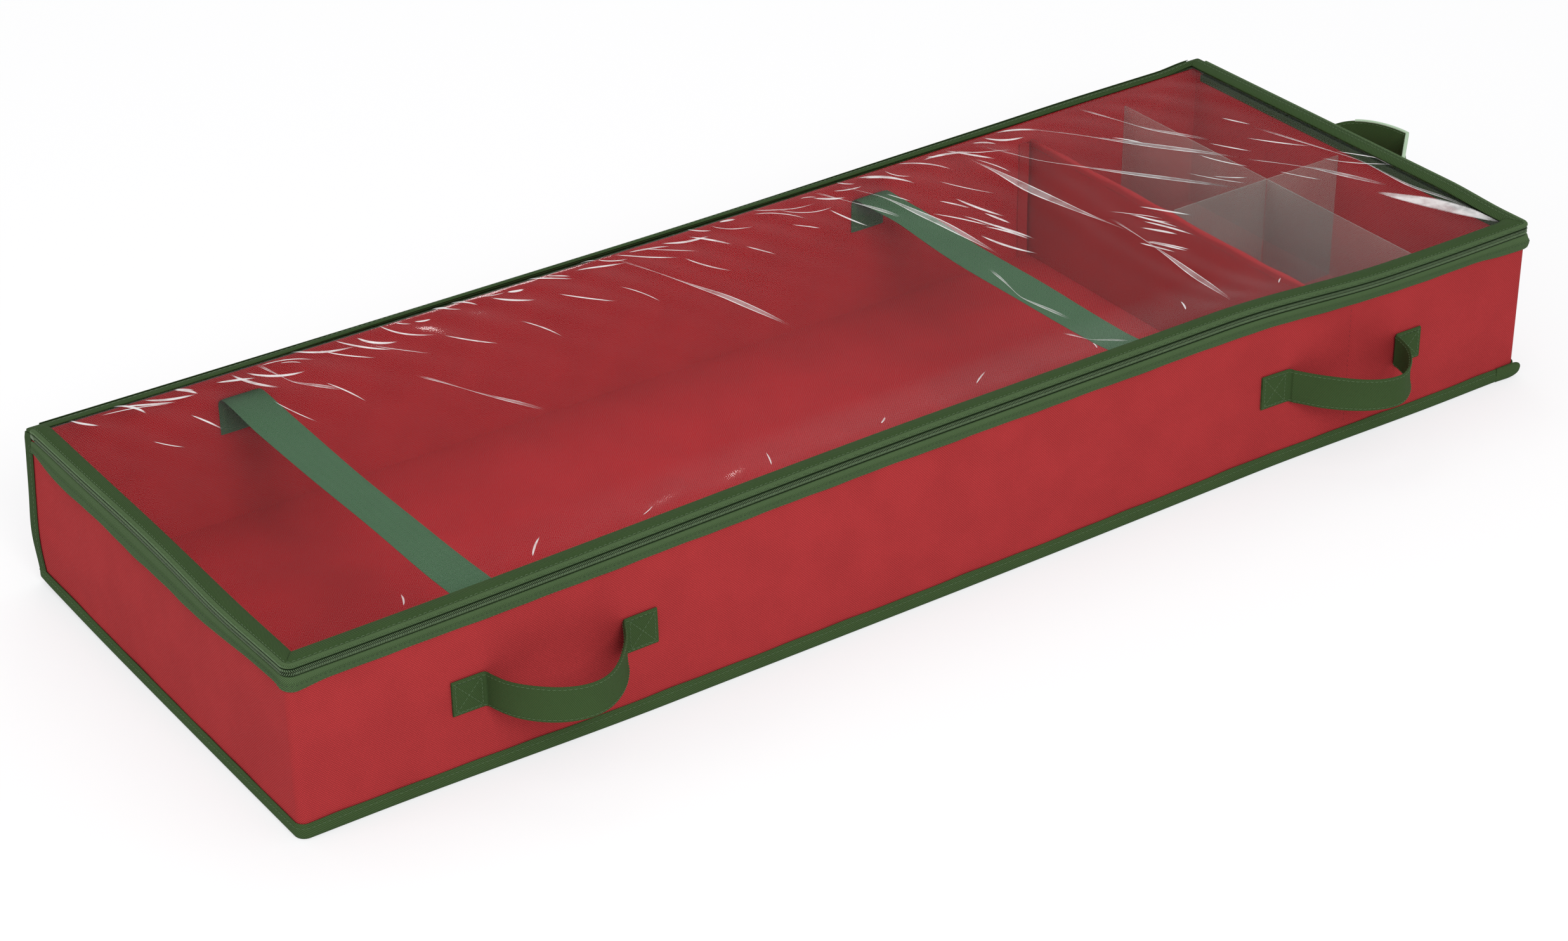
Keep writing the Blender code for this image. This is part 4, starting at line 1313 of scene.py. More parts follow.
    def build(self) -> list[Piece]:
        """Makes all the case's bindings, rides them on the case and returns them."""
        return carried([*self.foot(), *self.rear_corner(-1), *self.rear_corner(1), *self.hinge_side()], "case")


@dataclass
class ZipSides:
    """The zip's two tapes, its coils and its stops, round three sides of the box."""

    tooth_pitch: float = 0.00118
    tooth_thick: float = 0.00086
    coil_low: float = 0.1184
    coil_high: float = 0.1243
    hem_top: float = 0.1148
    hem_low: float = 0.1101
    left_drop: float = 0.0048
    left_flare: float = 0.0019

    def skirt(self, points: Array) -> Array:
        """Lets the lower tape hang lower along the left wall and at both front corners, where it is slack.

        The drop and the flare grow with the depth below the coil and follow a bell along the wall. At
        the right front corner the tape also stands off as a loop.

        Args:
            points: the points before they settle.

        Returns:
            The moved points.
        """
        x, y, z = points[..., 0], points[..., 1], points[..., 2]
        deep = np.clip((self.coil_low - z) / (self.coil_low - self.hem_low), 0, 1.1)
        middle = eased((y + 0.155) / 0.11) * eased((0.182 - y) / 0.055)
        slack = eased((-x - 0.505) / 0.006) * middle * (1 + 0.08 * np.sin(y * 46.0 + 1.0))
        nose = eased((-y - 0.171) / 0.007)
        near_left = bell((x + 0.508) / 0.015) * nose
        near_right = eased((x - 0.455) / 0.05) * nose
        loop = eased((x - 0.500) / 0.012) * nose * np.sin(np.pi * np.clip(deep * 0.8 + 0.1, 0, 1)) * eased(deep / 0.2)
        moved = np.array(points, float)
        moved[..., 2] -= deep * (slack * self.left_drop + near_left * 0.0026 + near_right * 0.0030)
        moved[..., 0] -= slack * self.left_flare * deep**1.3
        moved[..., 0] += 0.0022 * loop
        moved[..., 1] -= 0.0008 * loop
        return moved

    def lower_tape(self) -> list[Piece]:
        """Makes the tape that is sewn to the walls, and the thicker ribbed hem along its lower edge.

        Returns:
            The tape, its hem and their stitches.
        """
        plan = WallPlan(rear=SIZES.zip_rear, spacing=0.005, corner_steps=10)
        top, low, seam = self.coil_low, self.hem_low, self.hem_top
        tape_profile = rounded([
            (0.0008, top), (0.0013, top - 0.0006), (0.0012, seam - 0.0006), (0.0003, seam - 0.0006), (0.0003, top),
        ], 0.0004, 2)
        hem_profile = rounded([
            (0.0011, seam + 0.0001), (0.0019, seam - 0.0007), (0.0021, (seam + low) / 2), (0.0019, low + 0.0005),
            (0.0011, low), (0.0003, low + 0.0002), (0.0003, seam),
        ], 0.0005, 2)

        def wander(run: Array, share: Array) -> Array:
            """Lets the hem's edge wander."""
            lower = bell((share - 0.55) / 0.25)
            return lower * (0.00020 * np.sin(run * 73.0) + 0.00010 * np.sin(run * 190.0))

        tape = make_piece("lower_tape", plan.sweep(tape_profile, None, self.skirt), "green_tape")
        hem = make_piece("lower_tape_hem", plan.sweep(hem_profile, wander, self.skirt), "green_cord")
        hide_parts("lower_zip_tape")
        lower = make_piece("lower_tape_seam", self.row(plan, 0.00205, low + 0.0010, 0.0028, 0.0017), "thread")
        row = self.row(plan, 0.00195, seam - 0.0010, 0.0032, 0.0022)
        return [tape, hem, lower, make_piece("lower_tape_upper_seam", row, "dark_thread")]

    def row(self, plan: WallPlan, offset: float, level: float, pitch: float, length: float) -> Patch:
        """Returns a row of stitches on the lower tape, at an offset and level of its plan."""
        line = plan.line(offset, level, self.skirt)
        return stitches(line, outward(line), pitch, length, 0.0004, 0.00008)

    def coil_shade_core(self, name: str, low: float, high: float) -> Piece:
        """Makes the dark core that one coil is wound round, near black as painted shade between the teeth.

        Args:
            name: the coil's node.
            low: its lower level.
            high: its upper level.

        Returns:
            The piece.
        """
        plan = WallPlan(rear=SIZES.coil_rear, spacing=0.006, corner_steps=10)
        profile = rounded([(0.0007, low), (0.0007, high), (-0.0003, high), (-0.0003, low)], 0.0003, 2)
        piece = make_piece(name + "_core", plan.sweep(profile), "coil_shade_core")
        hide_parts(name)
        return piece

    def inner_hem(self) -> list[Piece]:
        """Makes the tape's inner half: over the wall's top edge and down the inside of the walls.

        Returns:
            The hem and its stitches.
        """
        plan = WallPlan(rear=SIZES.zip_rear, spacing=0.006)
        corners = [
            (-0.0001, 0.1180), (-0.0001, 0.1189), (-0.0048, 0.1189), (-0.0050, 0.1160), (-0.0048, 0.1128),
            (-0.0042, 0.1128), (-0.0042, 0.11865), (-0.0006, 0.11865), (-0.0006, 0.1180),
        ]
        hem = make_piece("inner_hem", plan.sweep(rounded(corners, 0.0002, 2)), "green_binding")
        line = plan.line(-0.00495, 0.1142)
        seam = make_piece("inner_hem_seam", stitches(line, -outward(line), 0.0036, 0.0024, 0.0004), "thread")
        return [hem, seam]

    def teeth(self, name: str, root: float, tip: float, shift: float) -> Piece:
        """Makes one coil's teeth: small arches that stand out between a root and a tip level.

        Each tooth is an arch of five rings with four points. Its rings follow half a sine wave
        outwards, and it leans a little along the zip as a coil does.

        Args:
            name: the piece's name.
            root: the level of the end in the tape.
            tip: the level of the end at the zip's middle.
            shift: a step along the zip, as a share of the pitch.

        Returns:
            The piece.
        """
        plan = WallPlan(rear=SIZES.coil_rear, spacing=0.004, corner_steps=10)
        line = plan.line(0.0, SIZES.zip_middle)
        run, out = run_length(line), outward(line)
        count = int((run[-1] - 0.002) / self.tooth_pitch)
        start = 0.001 + (np.arange(count) + shift) * self.tooth_pitch
        share = np.linspace(0, 1, 5)
        at = start[:, None] + (share - 0.5)[None, :] * self.tooth_pitch * 0.9
        normal = unit(read_along(out, run, at))
        tangent = np.cross(UP, normal)
        arch = np.sin(np.pi * np.clip(share * 0.8 + 0.1, 0, 1))
        centre = read_along(line, run, at) + normal * (0.00050 + 0.00080 * arch)[None, :, None]
        centre[..., 2] += ((root + (tip - root) * share) - SIZES.zip_middle)[None, :]
        angles = np.array([0.25, 0.75, 1.25, 1.75]) * np.pi
        half = self.tooth_thick / 2
        ring = np.cos(angles)[:, None] * tangent[:, :, None, :] * half
        ring = ring + np.sin(angles)[:, None] * normal[:, :, None, :] * half * 0.8
        points = centre[:, :, None, :] + ring
        quads = repeated(grid_faces(5, 4, False, True), count, 20)
        patch = Patch(points.reshape(-1, 3), quads, np.zeros((len(quads), 4, 2)))
        return make_piece(name, patch, "coil_nylon", 80.0)

    def upper_tape(self) -> list[Piece]:
        """Makes the lid's half of the tape: over the lid's edge and down to the coil, with its stitches.

        Returns:
            The tape and its stitches.
        """
        plan = WallPlan(rear=SIZES.zip_rear, spacing=0.005, corner_steps=10)
        corners = [
            (-0.0016, 0.1271), (-0.0004, 0.12735), (0.0008, 0.1271), (0.0010, 0.1266), (0.0010, 0.1252),
            (0.0011, 0.1247), (0.0008, self.coil_high), (0.0003, self.coil_high), (0.0003, 0.1264), (-0.0016, 0.1267),
        ]
        tape = make_piece("upper_tape", plan.sweep(rounded(corners, 0.0004, 2)), "green_tape")
        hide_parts("upper_zip_tape")
        line = plan.line(0.00105, 0.1257)
        ribs = stitches(line, outward(line), 0.00135, 0.00105, 0.00085, 0.0001, 0.0021)
        # The ribs are in the lighter thread: painted light.
        return [tape, make_piece("upper_tape_ribs", ribs, "lit_rib_thread")]

    def stop(self, side: int) -> Piece:
        """Makes one end stop: a crimped block, a superellipse of fourth power round a short core.

        Args:
            side: -1 for the left end and 1 for the right.

        Returns:
            The piece.
        """
        name = "zip_stop_left" if side < 0 else "zip_stop_right"
        low, high = (np.array(corner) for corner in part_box(name))
        middle, half = (low + high) / 2, (high - low) / 2
        angle = circle(24)
        wave = np.linspace(-1, 1, 15)
        size = (1 - wave**6) ** 0.25 * (1 - 0.10 * np.cos(wave * np.pi * 3) ** 2)
        x = middle[0] + half[0] * 1.05 * squared(np.cos(angle), 0.5)[:, None] * size[None, :]
        z = middle[2] + half[2] * squared(np.sin(angle), 0.5)[:, None] * size[None, :]
        grid = lattice(x, (middle[1] + half[1] * wave)[None, :], z)
        patch = tube(grid, np.linspace(0, 0.01, 25), wave * half[1])
        piece = make_piece(name + "_crimp", patch, "coil_nylon")
        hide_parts(name)
        return piece

    def build(self) -> list[Piece]:
        """Makes the zip's tapes, coils and stops, and rides each on the case or the lid.

        Returns:
            The pieces.
        """
        low, high, gap, middle = self.coil_low, self.coil_high, SIZES.gap, SIZES.zip_middle
        case = [*self.lower_tape(), *self.inner_hem(), self.coil_shade_core("lower_zip_coil", low, middle - gap)]
        case += [self.teeth("lower_teeth", low + 0.0008, middle - 0.00022, 0.0), self.stop(-1), self.stop(1)]
        lid = [*self.upper_tape(), self.coil_shade_core("upper_zip_coil", middle + gap, high)]
        lid.append(self.teeth("upper_teeth", high - 0.0008, middle + 0.00022, 0.5))
        return carried(case, "case") + carried(lid, "lid")


def outward(line: Array) -> Array:
    """Returns the level outward directions of a line round the box: its tangents, turned a quarter clockwise."""
    tangent = np.gradient(line, axis=0)
    return unit(lattice(tangent[:, 1], -tangent[:, 0], 0.0))


def dress_node(name: str, finish: str) -> None:
    """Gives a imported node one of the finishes.

    Args:
        name: the node's name.
        finish: the finish's name.
    """
    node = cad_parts[name]
    node.data.materials.clear()
    node.data.materials.append(FINISHES.get(finish))


@dataclass
class Lid:
    """The lid: a clear vinyl window in a puffy folded binding, and the cloth of its sewn hinge."""

    band: float = 0.014
    puff: float = 0.0015
    lean: float = 0.27
    left_narrowing: float = 0.0024
    back_narrowing: float = 0.0042
    sheet_top: float = 0.1259
    sheet_thick: float = 0.0004
    crease_seed: int = 7

    def binding(self) -> list[Piece]:
        """Makes the binding folded round the window's edge, with its stitches.

        Across the top it swells by a sine to the power 0.6, and it ripples along its length as stitched
        cloth does.

        Returns:
            The tape and its rows of stitches.
        """
        share = np.linspace(0, 1, 15)
        offset = -0.0018 - share * (self.band - 0.0020)
        level = 0.1267 + self.puff * np.sin(np.pi * share) ** 0.6 - 0.0004 * share
        top = np.stack([offset, level], 1)
        around = np.array([
            (-0.0139, 0.1261), (-0.0010, 0.12605), (-0.0010, 0.1252), (-0.0098, 0.1252), (-0.0098, 0.1244),
            (-0.0002, 0.1244), (-0.0001, 0.1262), (-0.0009, 0.1267),
        ])

        def pucker(run: Array, place: Array) -> Array:
            """Lets the swollen top ripple as stitched cloth does."""
            upper = bell((place - 0.33) / 0.16)
            return upper * (0.00016 * np.sin(run * 260.0 + 2 * np.sin(run * 31.0)) + 0.00022 * np.sin(run * 47.0))

        plan = WallPlan(rear=SIZES.hinge_back - 0.001, closed=True, rear_radius=0.0025, spacing=0.004)
        patch = plan.sweep(np.concatenate([top, around]), pucker)
        tape = make_piece("lid_edge_binding", patch.moved(self.narrowed), "green_binding")
        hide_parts("lid_binding")
        edge = WallPlan(rear=SIZES.zip_rear, spacing=0.006).line(-0.0021, 0.12725)
        right = WallPlan(rear=0.180, right_only=True).line(-0.0068, 0.12815)
        back = settled(lattice(np.linspace(-0.498, 0.498, 220), SIZES.hinge_back - 0.0102, 0.12825))
        rows = [
            stitches(edge, UP, 0.0036, 0.0026), stitches(self.narrowed(right), UP, 0.0036, 0.0024),
            stitches(self.narrowed(back), UP, 0.0040, 0.0027),
        ]
        return [tape, make_piece("lid_binding_seam", joined(rows), "thread")]

    def leaning(self, points: Array) -> Array:
        """Leans the rear edge forwards by a share of its height over the hinge, so that the lid turns right over.

        Args:
            points: the settled points.

        Returns:
            The moved points.
        """
        y, z = points[..., 1], points[..., 2]
        moved = points.copy()
        moved[..., 1] -= self.lean * np.clip(z - 0.1235, 0, 1) * eased((y - 0.170) / 0.012)
        return moved

    def narrowed(self, points: Array) -> Array:
        """Draws the binding's inner edge outwards where it is narrow, and leans its rear edge.

        Args:
            points: the settled points.

        Returns:
            The moved points.
        """
        x, y = points[:, 0], points[:, 1]
        moved = points.copy()
        inwards = np.clip((x + SIZES.half_length) / self.band, 0, 1)
        moved[:, 0] -= self.left_narrowing * inwards * eased((-x - 0.44) / 0.05)
        inner = np.clip((SIZES.hinge_back - 0.003 - y) / (self.band - 0.003), 0, 1)
        moved[:, 1] += self.back_narrowing * inner * eased((y - 0.12) / 0.04) * eased((x + 0.42) / 0.25)
        return self.leaning(moved)

    def window(self) -> Piece:
        """Makes the vinyl, a thin sheet whose upper face lies at sheet_level.

        Returns:
            The piece.
        """
        half_x, front, back = self.sheet_limits()
        x, y = np.linspace(-half_x, half_x, 380), np.linspace(front, back, 130)
        grid = lattice(x, y[:, None], self.sheet_level(x[None, :], y[:, None]))
        under = grid.copy()
        under[..., 2] -= self.sheet_thick
        piece = make_piece("window_vinyl", thin_sheet(grid, under, x, y, self.sheet_thick), "clear_vinyl")
        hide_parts("lid_window")
        return piece

    def sheet_limits(self) -> Spot:
        """Returns half the vinyl's length, and the places of its front and back edges."""
        return SIZES.half_length - 0.004, -SIZES.half_depth + 0.004, SIZES.hinge_back - 0.005

    def sheet_level(self, x: Array, y: Array) -> Array:
        """Returns the level of the vinyl's upper face: a shallow sag with ripples at its edges and the divider.

        Each ripple is a sine wave that fades away from there. At the back and front edges its crests
        are aslant to the edge, and over the divider they run nearly along it.

        Args:
            x: places along the box.
            y: places across it.

        Returns:
            The levels.
        """
        half_x, front, back = self.sheet_limits()
        free = eased((half_x - 0.012 - np.abs(x)) / 0.02) * eased((y - front - 0.012) / 0.02)
        free = free * eased((back - 0.012 - y) / 0.02)
        from_back = np.exp(-np.maximum(back - y, 0) / 0.055)
        from_front = np.exp(-np.maximum(y - front, 0) / 0.045)
        by_divider = bell((x - 0.265) / 0.035)
        sag = -0.0016 * (1 - (x / half_x) ** 2) * np.sin(np.pi * np.clip((y - front) / (back - front), 0, 1))
        ripple = 0.00055 * from_back * np.sin(x * 170.0 + y * 80.0 + 2.2 * np.sin(x * 11.0))
        ripple += 0.00035 * from_front * np.sin(x * 120.0 - y * 60.0 + 1.8 * np.sin(x * 13.0 + 1.0))
        ripple += 0.00035 * by_divider * np.sin(x * 210.0 + y * 12.0 + 2.4 * np.sin(y * 17.0 + 3.0))
        return self.sheet_top + free * (sag + ripple)

    def folds(self) -> list[tuple[float, tuple[Span, ...]]]:
        """Returns the long folds of the vinyl, each a half width and the places that it runs through.

        Returns:
            The folds.
        """
        return [
            (0.0030, ((0.270, 0.160), (0.290, 0.112), (0.317, 0.076), (0.385, -0.019))),
            (0.0034, ((0.318, 0.166), (0.345, 0.130), (0.368, 0.097), (0.421, 0.022))),
            (0.0024, ((0.376, 0.166), (0.398, 0.104), (0.423, 0.060))),
            (0.0052, ((0.250, 0.150), (0.255, 0.077), (0.264, 0.010), (0.270, -0.030))),
            (0.0032, ((0.272, 0.002), (0.266, -0.076), (0.259, -0.124), (0.247, -0.164))),
            (0.0019, ((0.465, 0.060), (0.480, 0.000), (0.489, -0.038), (0.486, -0.093), (0.499, -0.150))),
            (0.0030, ((0.420, 0.021), (0.454, -0.025), (0.477, -0.083))),
            (0.0040, ((0.141, 0.165), (0.157, 0.129), (0.167, 0.070), (0.169, -0.005))),
            (0.0024, ((0.120, 0.166), (0.139, 0.125), (0.148, 0.092))),
            (0.0020, ((0.149, -0.011), (0.140, -0.060), (0.146, -0.110))),
            (0.0032, ((-0.062, 0.160), (-0.045, 0.110), (-0.029, 0.065), (-0.017, -0.005))),
            (0.0022, ((-0.268, 0.090), (-0.246, 0.046), (-0.221, -0.004))),
            (0.0022, ((-0.350, 0.168), (-0.340, 0.130), (-0.318, 0.100))),
            (0.0018, ((0.128, -0.120), (0.134, -0.145), (0.150, -0.168))),
        ]

    def marks(self) -> Array:
        """Returns the short marks of painted highlight as rows of x, y, heading, length, half width and bend.

        They lie close together along the back edge, aslant to it, with a few beside the long folds.

        Returns:
            The rows.
        """
        dice = np.random.default_rng(self.crease_seed)

        def spread(x: Array, y: Span, turn: Span, long: Span, half: Span, bend: float) -> Array:
            """Returns rows with their values spread between limits.

            Args:
                x: the rows' places along the box.
                y: the limits of their places across it.
                turn: the limits of their headings, in degrees.
                long: the limits of their lengths.
                half: the limits of their half widths.
                bend: the most that they turn.

            Returns:
                The rows.
            """
            many = len(x)
            return np.stack([
                x + dice.uniform(-0.008, 0.008, many), dice.uniform(*y, many), np.radians(dice.uniform(*turn, many)),
                dice.uniform(*long, many), dice.uniform(*half, many), dice.uniform(-bend, bend, many),
            ], 1)

        rows = [
            spread(np.linspace(-0.49, 0.30, 56), (0.158, 0.172), (-62, -12), (0.012, 0.052), (0.0005, 0.0021), 1.3),
            spread(np.linspace(-0.46, 0.26, 16), (0.110, 0.150), (-80, -50), (0.018, 0.050), (0.0004, 0.0011), 0.5),
            spread(np.linspace(0.262, 0.30, 9), (-0.060, 0.020), (-85, -48), (0.020, 0.050), (0.0006, 0.0019), 0.7),
            spread(np.linspace(0.172, 0.20, 8), (0.030, 0.110), (-84, -58), (0.025, 0.060), (0.0006, 0.0022), 0.5),
            spread(np.linspace(0.36, 0.48, 10), (-0.040, 0.160), (-66, -40), (0.020, 0.060), (0.0005, 0.0012), 0.4),
            spread(np.linspace(-0.42, 0.30, 9), (-0.166, -0.150), (30, 75), (0.010, 0.028), (0.0004, 0.0010), 0.7),
        ]
        # One broad painted highlight at the right front corner.
        rows.append(np.array([[0.461, -0.082, math.radians(-66), 0.102, 0.0082, -0.12]]))
        return np.concatenate(rows)

    def crease_highlights(self) -> Piece:
        """Makes the painted highlights of marks and folds: thin white ribbons that lie on the vinyl and swell at their
        middle.

        A mark's middle line turns steadily by its bend, and a fold's runs through its places. The half
        width is a sine to the power 0.7 along a mark. Along a fold it is a slow wave, closed at both
        ends by a sine to the power 0.35.

        Returns:
            The piece.
        """
        share = np.linspace(0, 1, 21)
        marks = self.marks()
        heading = marks[:, 2:3] + marks[:, 5:6] * (share[None, :] - 0.5)
        step = marks[:, 3:4] / 20
        mark_x = marks[:, 0:1] + (np.cumsum(np.cos(heading), 1) - np.cos(heading)) * step
        mark_y = marks[:, 1:2] + (np.cumsum(np.sin(heading), 1) - np.sin(heading)) * step
        mark_half = marks[:, 4:5] * np.sin(np.pi * np.clip(share, 0.02, 0.98))[None, :] ** 0.7
        lines, halves = [np.stack([mark_x, mark_y], -1)], [mark_half]
        for half, places in self.folds():
            spots = np.array(places)
            run = run_length(spots)
            line = read_along(spots, run, share * run[-1])
            line[1:-1] = (line[:-2] + 2 * line[1:-1] + line[2:]) / 4
            line[:, 0] += np.sin(share * 9.0 + 40 * half) * 0.0006
            lines.append(line[None])
            uneven = half * (0.55 + 0.45 * np.sin(share * 7.0 + 900 * half))
            halves.append((uneven * np.sin(np.pi * np.clip(share, 0.04, 0.96)) ** 0.35)[None])
        line, half = np.concatenate(lines), np.concatenate(halves)
        tangent = unit(np.gradient(line, axis=1))
        side = np.stack([-tangent[..., 1], tangent[..., 0]], -1)
        across = np.array([-1.0, -0.5, 0.0, 0.5, 1.0, 0.5, 0.0, -0.5])
        place = line[:, None] + side[:, None] * (half[:, None, :] * across[None, :, None])[..., None]
        front, back, half_x = -SIZES.half_depth + 0.015, SIZES.hinge_back - 0.0152, SIZES.half_length - 0.0152
        px, py = np.clip(place[..., 0], -half_x, half_x), np.clip(place[..., 1], front, back)
        rise = np.array([0.00005, 0.0002, 0.00026, 0.0002, 0.00005, 0.0001, 0.00012, 0.0001])
        pz = self.sheet_level(px, py) + rise[None, :, None]
        points = settled(lattice(px, py, pz))
        count = len(line)
        quads = repeated(grid_faces(8, 21, True, False), count, 168)
        down = np.concatenate([across, across[:1]])
        uv = np.tile(grid_uv(down, share)[None], (count, 1, 1, 1))
        uv[len(marks):, ..., 0] += 2.0
        patch = Patch(points.reshape(-1, 3), quads, uv.reshape(-1, 4, 2))
        # The white ribbons paint highlights on the vinyl.
        return make_piece("window_crease_highlights", patch, "vinyl_crease_highlight", 80.0)

    def hinge_cloth(self) -> Piece:
        """Makes the cloth that crosses the hinge from the back wall to the lid's edge.

        Returns:
            The piece.
        """
        half = SIZES.half_length + 0.0011 - SIZES.rear_binding
        profile = rounded([
            (0.1853, 0.1160), (0.1858, 0.1165), (0.1859, 0.1215), (0.1859, 0.1258), (0.1850, 0.1270), (0.1836, 0.1274),
            (0.1836, 0.1270), (0.1847, 0.1266), (0.1855, 0.1256), (0.1855, 0.1215), (0.1853, 0.1165),
        ], 0.0004)
        x = np.linspace(-half, half, 180)
        grid = lattice(x, profile[:, :1], profile[:, 1:])
        patch = tube(self.leaning(settled(grid)), round_run(profile), x)
        piece = make_piece("hinge_cloth", patch, "green_binding")
        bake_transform(piece)
        return piece

    def build(self) -> list[Piece]:
        """Makes the lid's pieces, rides them on the lid and returns them."""
        return [*carried([*self.binding(), self.window(), self.crease_highlights()], "lid"), self.hinge_cloth()]


@dataclass
class Straps:
    """The two elastic straps across the long bay, sewn to the linings at both ends."""

    width: float = 0.030
    thick: float = 0.0011
    middles: Span = (-0.3600, 0.1800)
    run_level: float = 0.104
    sag: float = 0.003
    tab: float = 0.024
    bend: float = 0.006

    def centre_line(self) -> Array:
        """Returns the strap's centre line as y and z: up the front lining, across with a sag, and down.

        Returns:
            The line's points.
        """
        wall = SIZES.half_depth + SIZES.lining_inner - SIZES.gap - 0.0006
        reach, foot = wall - self.bend, self.run_level - self.bend
        tab = np.stack([np.full(9, -wall), np.linspace(foot - self.tab, foot, 9)], 1)[:-1]
        angle = np.linspace(0, math.pi / 2, 9)
        turn = np.stack([-reach - self.bend * np.cos(angle), foot + self.bend * np.sin(angle)], 1)
        share = np.linspace(-1, 1, 71)[1:-1]
        across = np.stack([reach * share, self.run_level - self.sag * (1 - share**2)], 1)
        mirror = np.concatenate([tab, turn])[::-1] * [-1, 1]
        return np.concatenate([tab, turn, across, mirror])

    def strap(self, name: str, middle: float, phase: float) -> list[Piece]:
        """Makes one strap: a flat woven band with thinner edges, which wanders and curls a little.

        Args:
            name: the strap's node.
            middle: its place along the box.
            phase: shifts its wander, so that the two straps differ.

        Returns:
            The strap and its stitches.
        """
        line = self.centre_line()
        run = run_length(np.concatenate([np.zeros((len(line), 1)), line], 1))
        tangent = unit(np.gradient(line, axis=0))
        normal = np.stack([-tangent[:, 1], tangent[:, 0]], 1)
        across, face = band(17)
        body = (1 - np.abs(across) ** 10) * 0.75 + 0.25
        free = eased((run - 0.04) / 0.05) * eased((run[-1] - 0.04 - run) / 0.05)
        drift = free * (0.0009 * np.sin(run * 15.0 + phase) + 0.0004 * np.sin(run * 44.0 + 2 * phase))
        lift = free * (0.0006 * np.sin(run * 33.0 + phase))
        curl = free * 0.0009 * np.sin(run * 21.0 + 1.3 * phase)
        x = middle + drift + across[:, None] * self.width / 2 * (1 - 0.012 * free)
        height = face[:, None] * body[:, None] * self.thick / 2 + lift + curl * across[:, None] * 0.8
        grid = settled(lattice(x, line[:, 0] + normal[:, 0] * height, line[:, 1] + normal[:, 1] * height))
        front, rear = np.linspace(0, self.width, 17), np.linspace(self.width + 0.001, 2 * self.width + 0.001, 17)
        down = np.concatenate([front, rear, [2 * self.width + 0.002]])
        piece = make_piece(name + "_elastic", tube(grid, down, run), "green_elastic")
        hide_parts(name)
        return [piece, self.tab_stitches(name, middle)]

    def tab_stitches(self, name: str, middle: float) -> Piece:
        """Makes the stitched box on both tabs of a strap.

        Args:
            name: the strap's node.
            middle: its place along the box.

        Returns:
            The piece.
        """
        wall = SIZES.half_depth + SIZES.lining_inner - SIZES.gap - 0.00115
        half, high = self.width / 2 - 0.003, self.run_level - self.bend - 0.003
        low = self.run_level - self.bend - self.tab + 0.003
        corners = np.array([(-half, low), (half, low), (half, high), (-half, high), (-half, low), (half, high)])
        rows = []
        for side in (-1, 1):
            box = settled(lattice(middle + corners[:, 0], side * wall, corners[:, 1]))
            rows += [stitches(dense(box[i:i + 2]), (0, -side, 0), 0.0030, 0.0021) for i in range(5)]
        return make_piece(name + "_stitches", joined(rows), "thread")

    def build(self) -> list[Piece]:
        """Makes both straps, rides them on the case and returns them."""
        left, right = self.middles
        return carried([*self.strap("strap_left", left, 0.4), *self.strap("strap_right", right, 2.6)], "case")


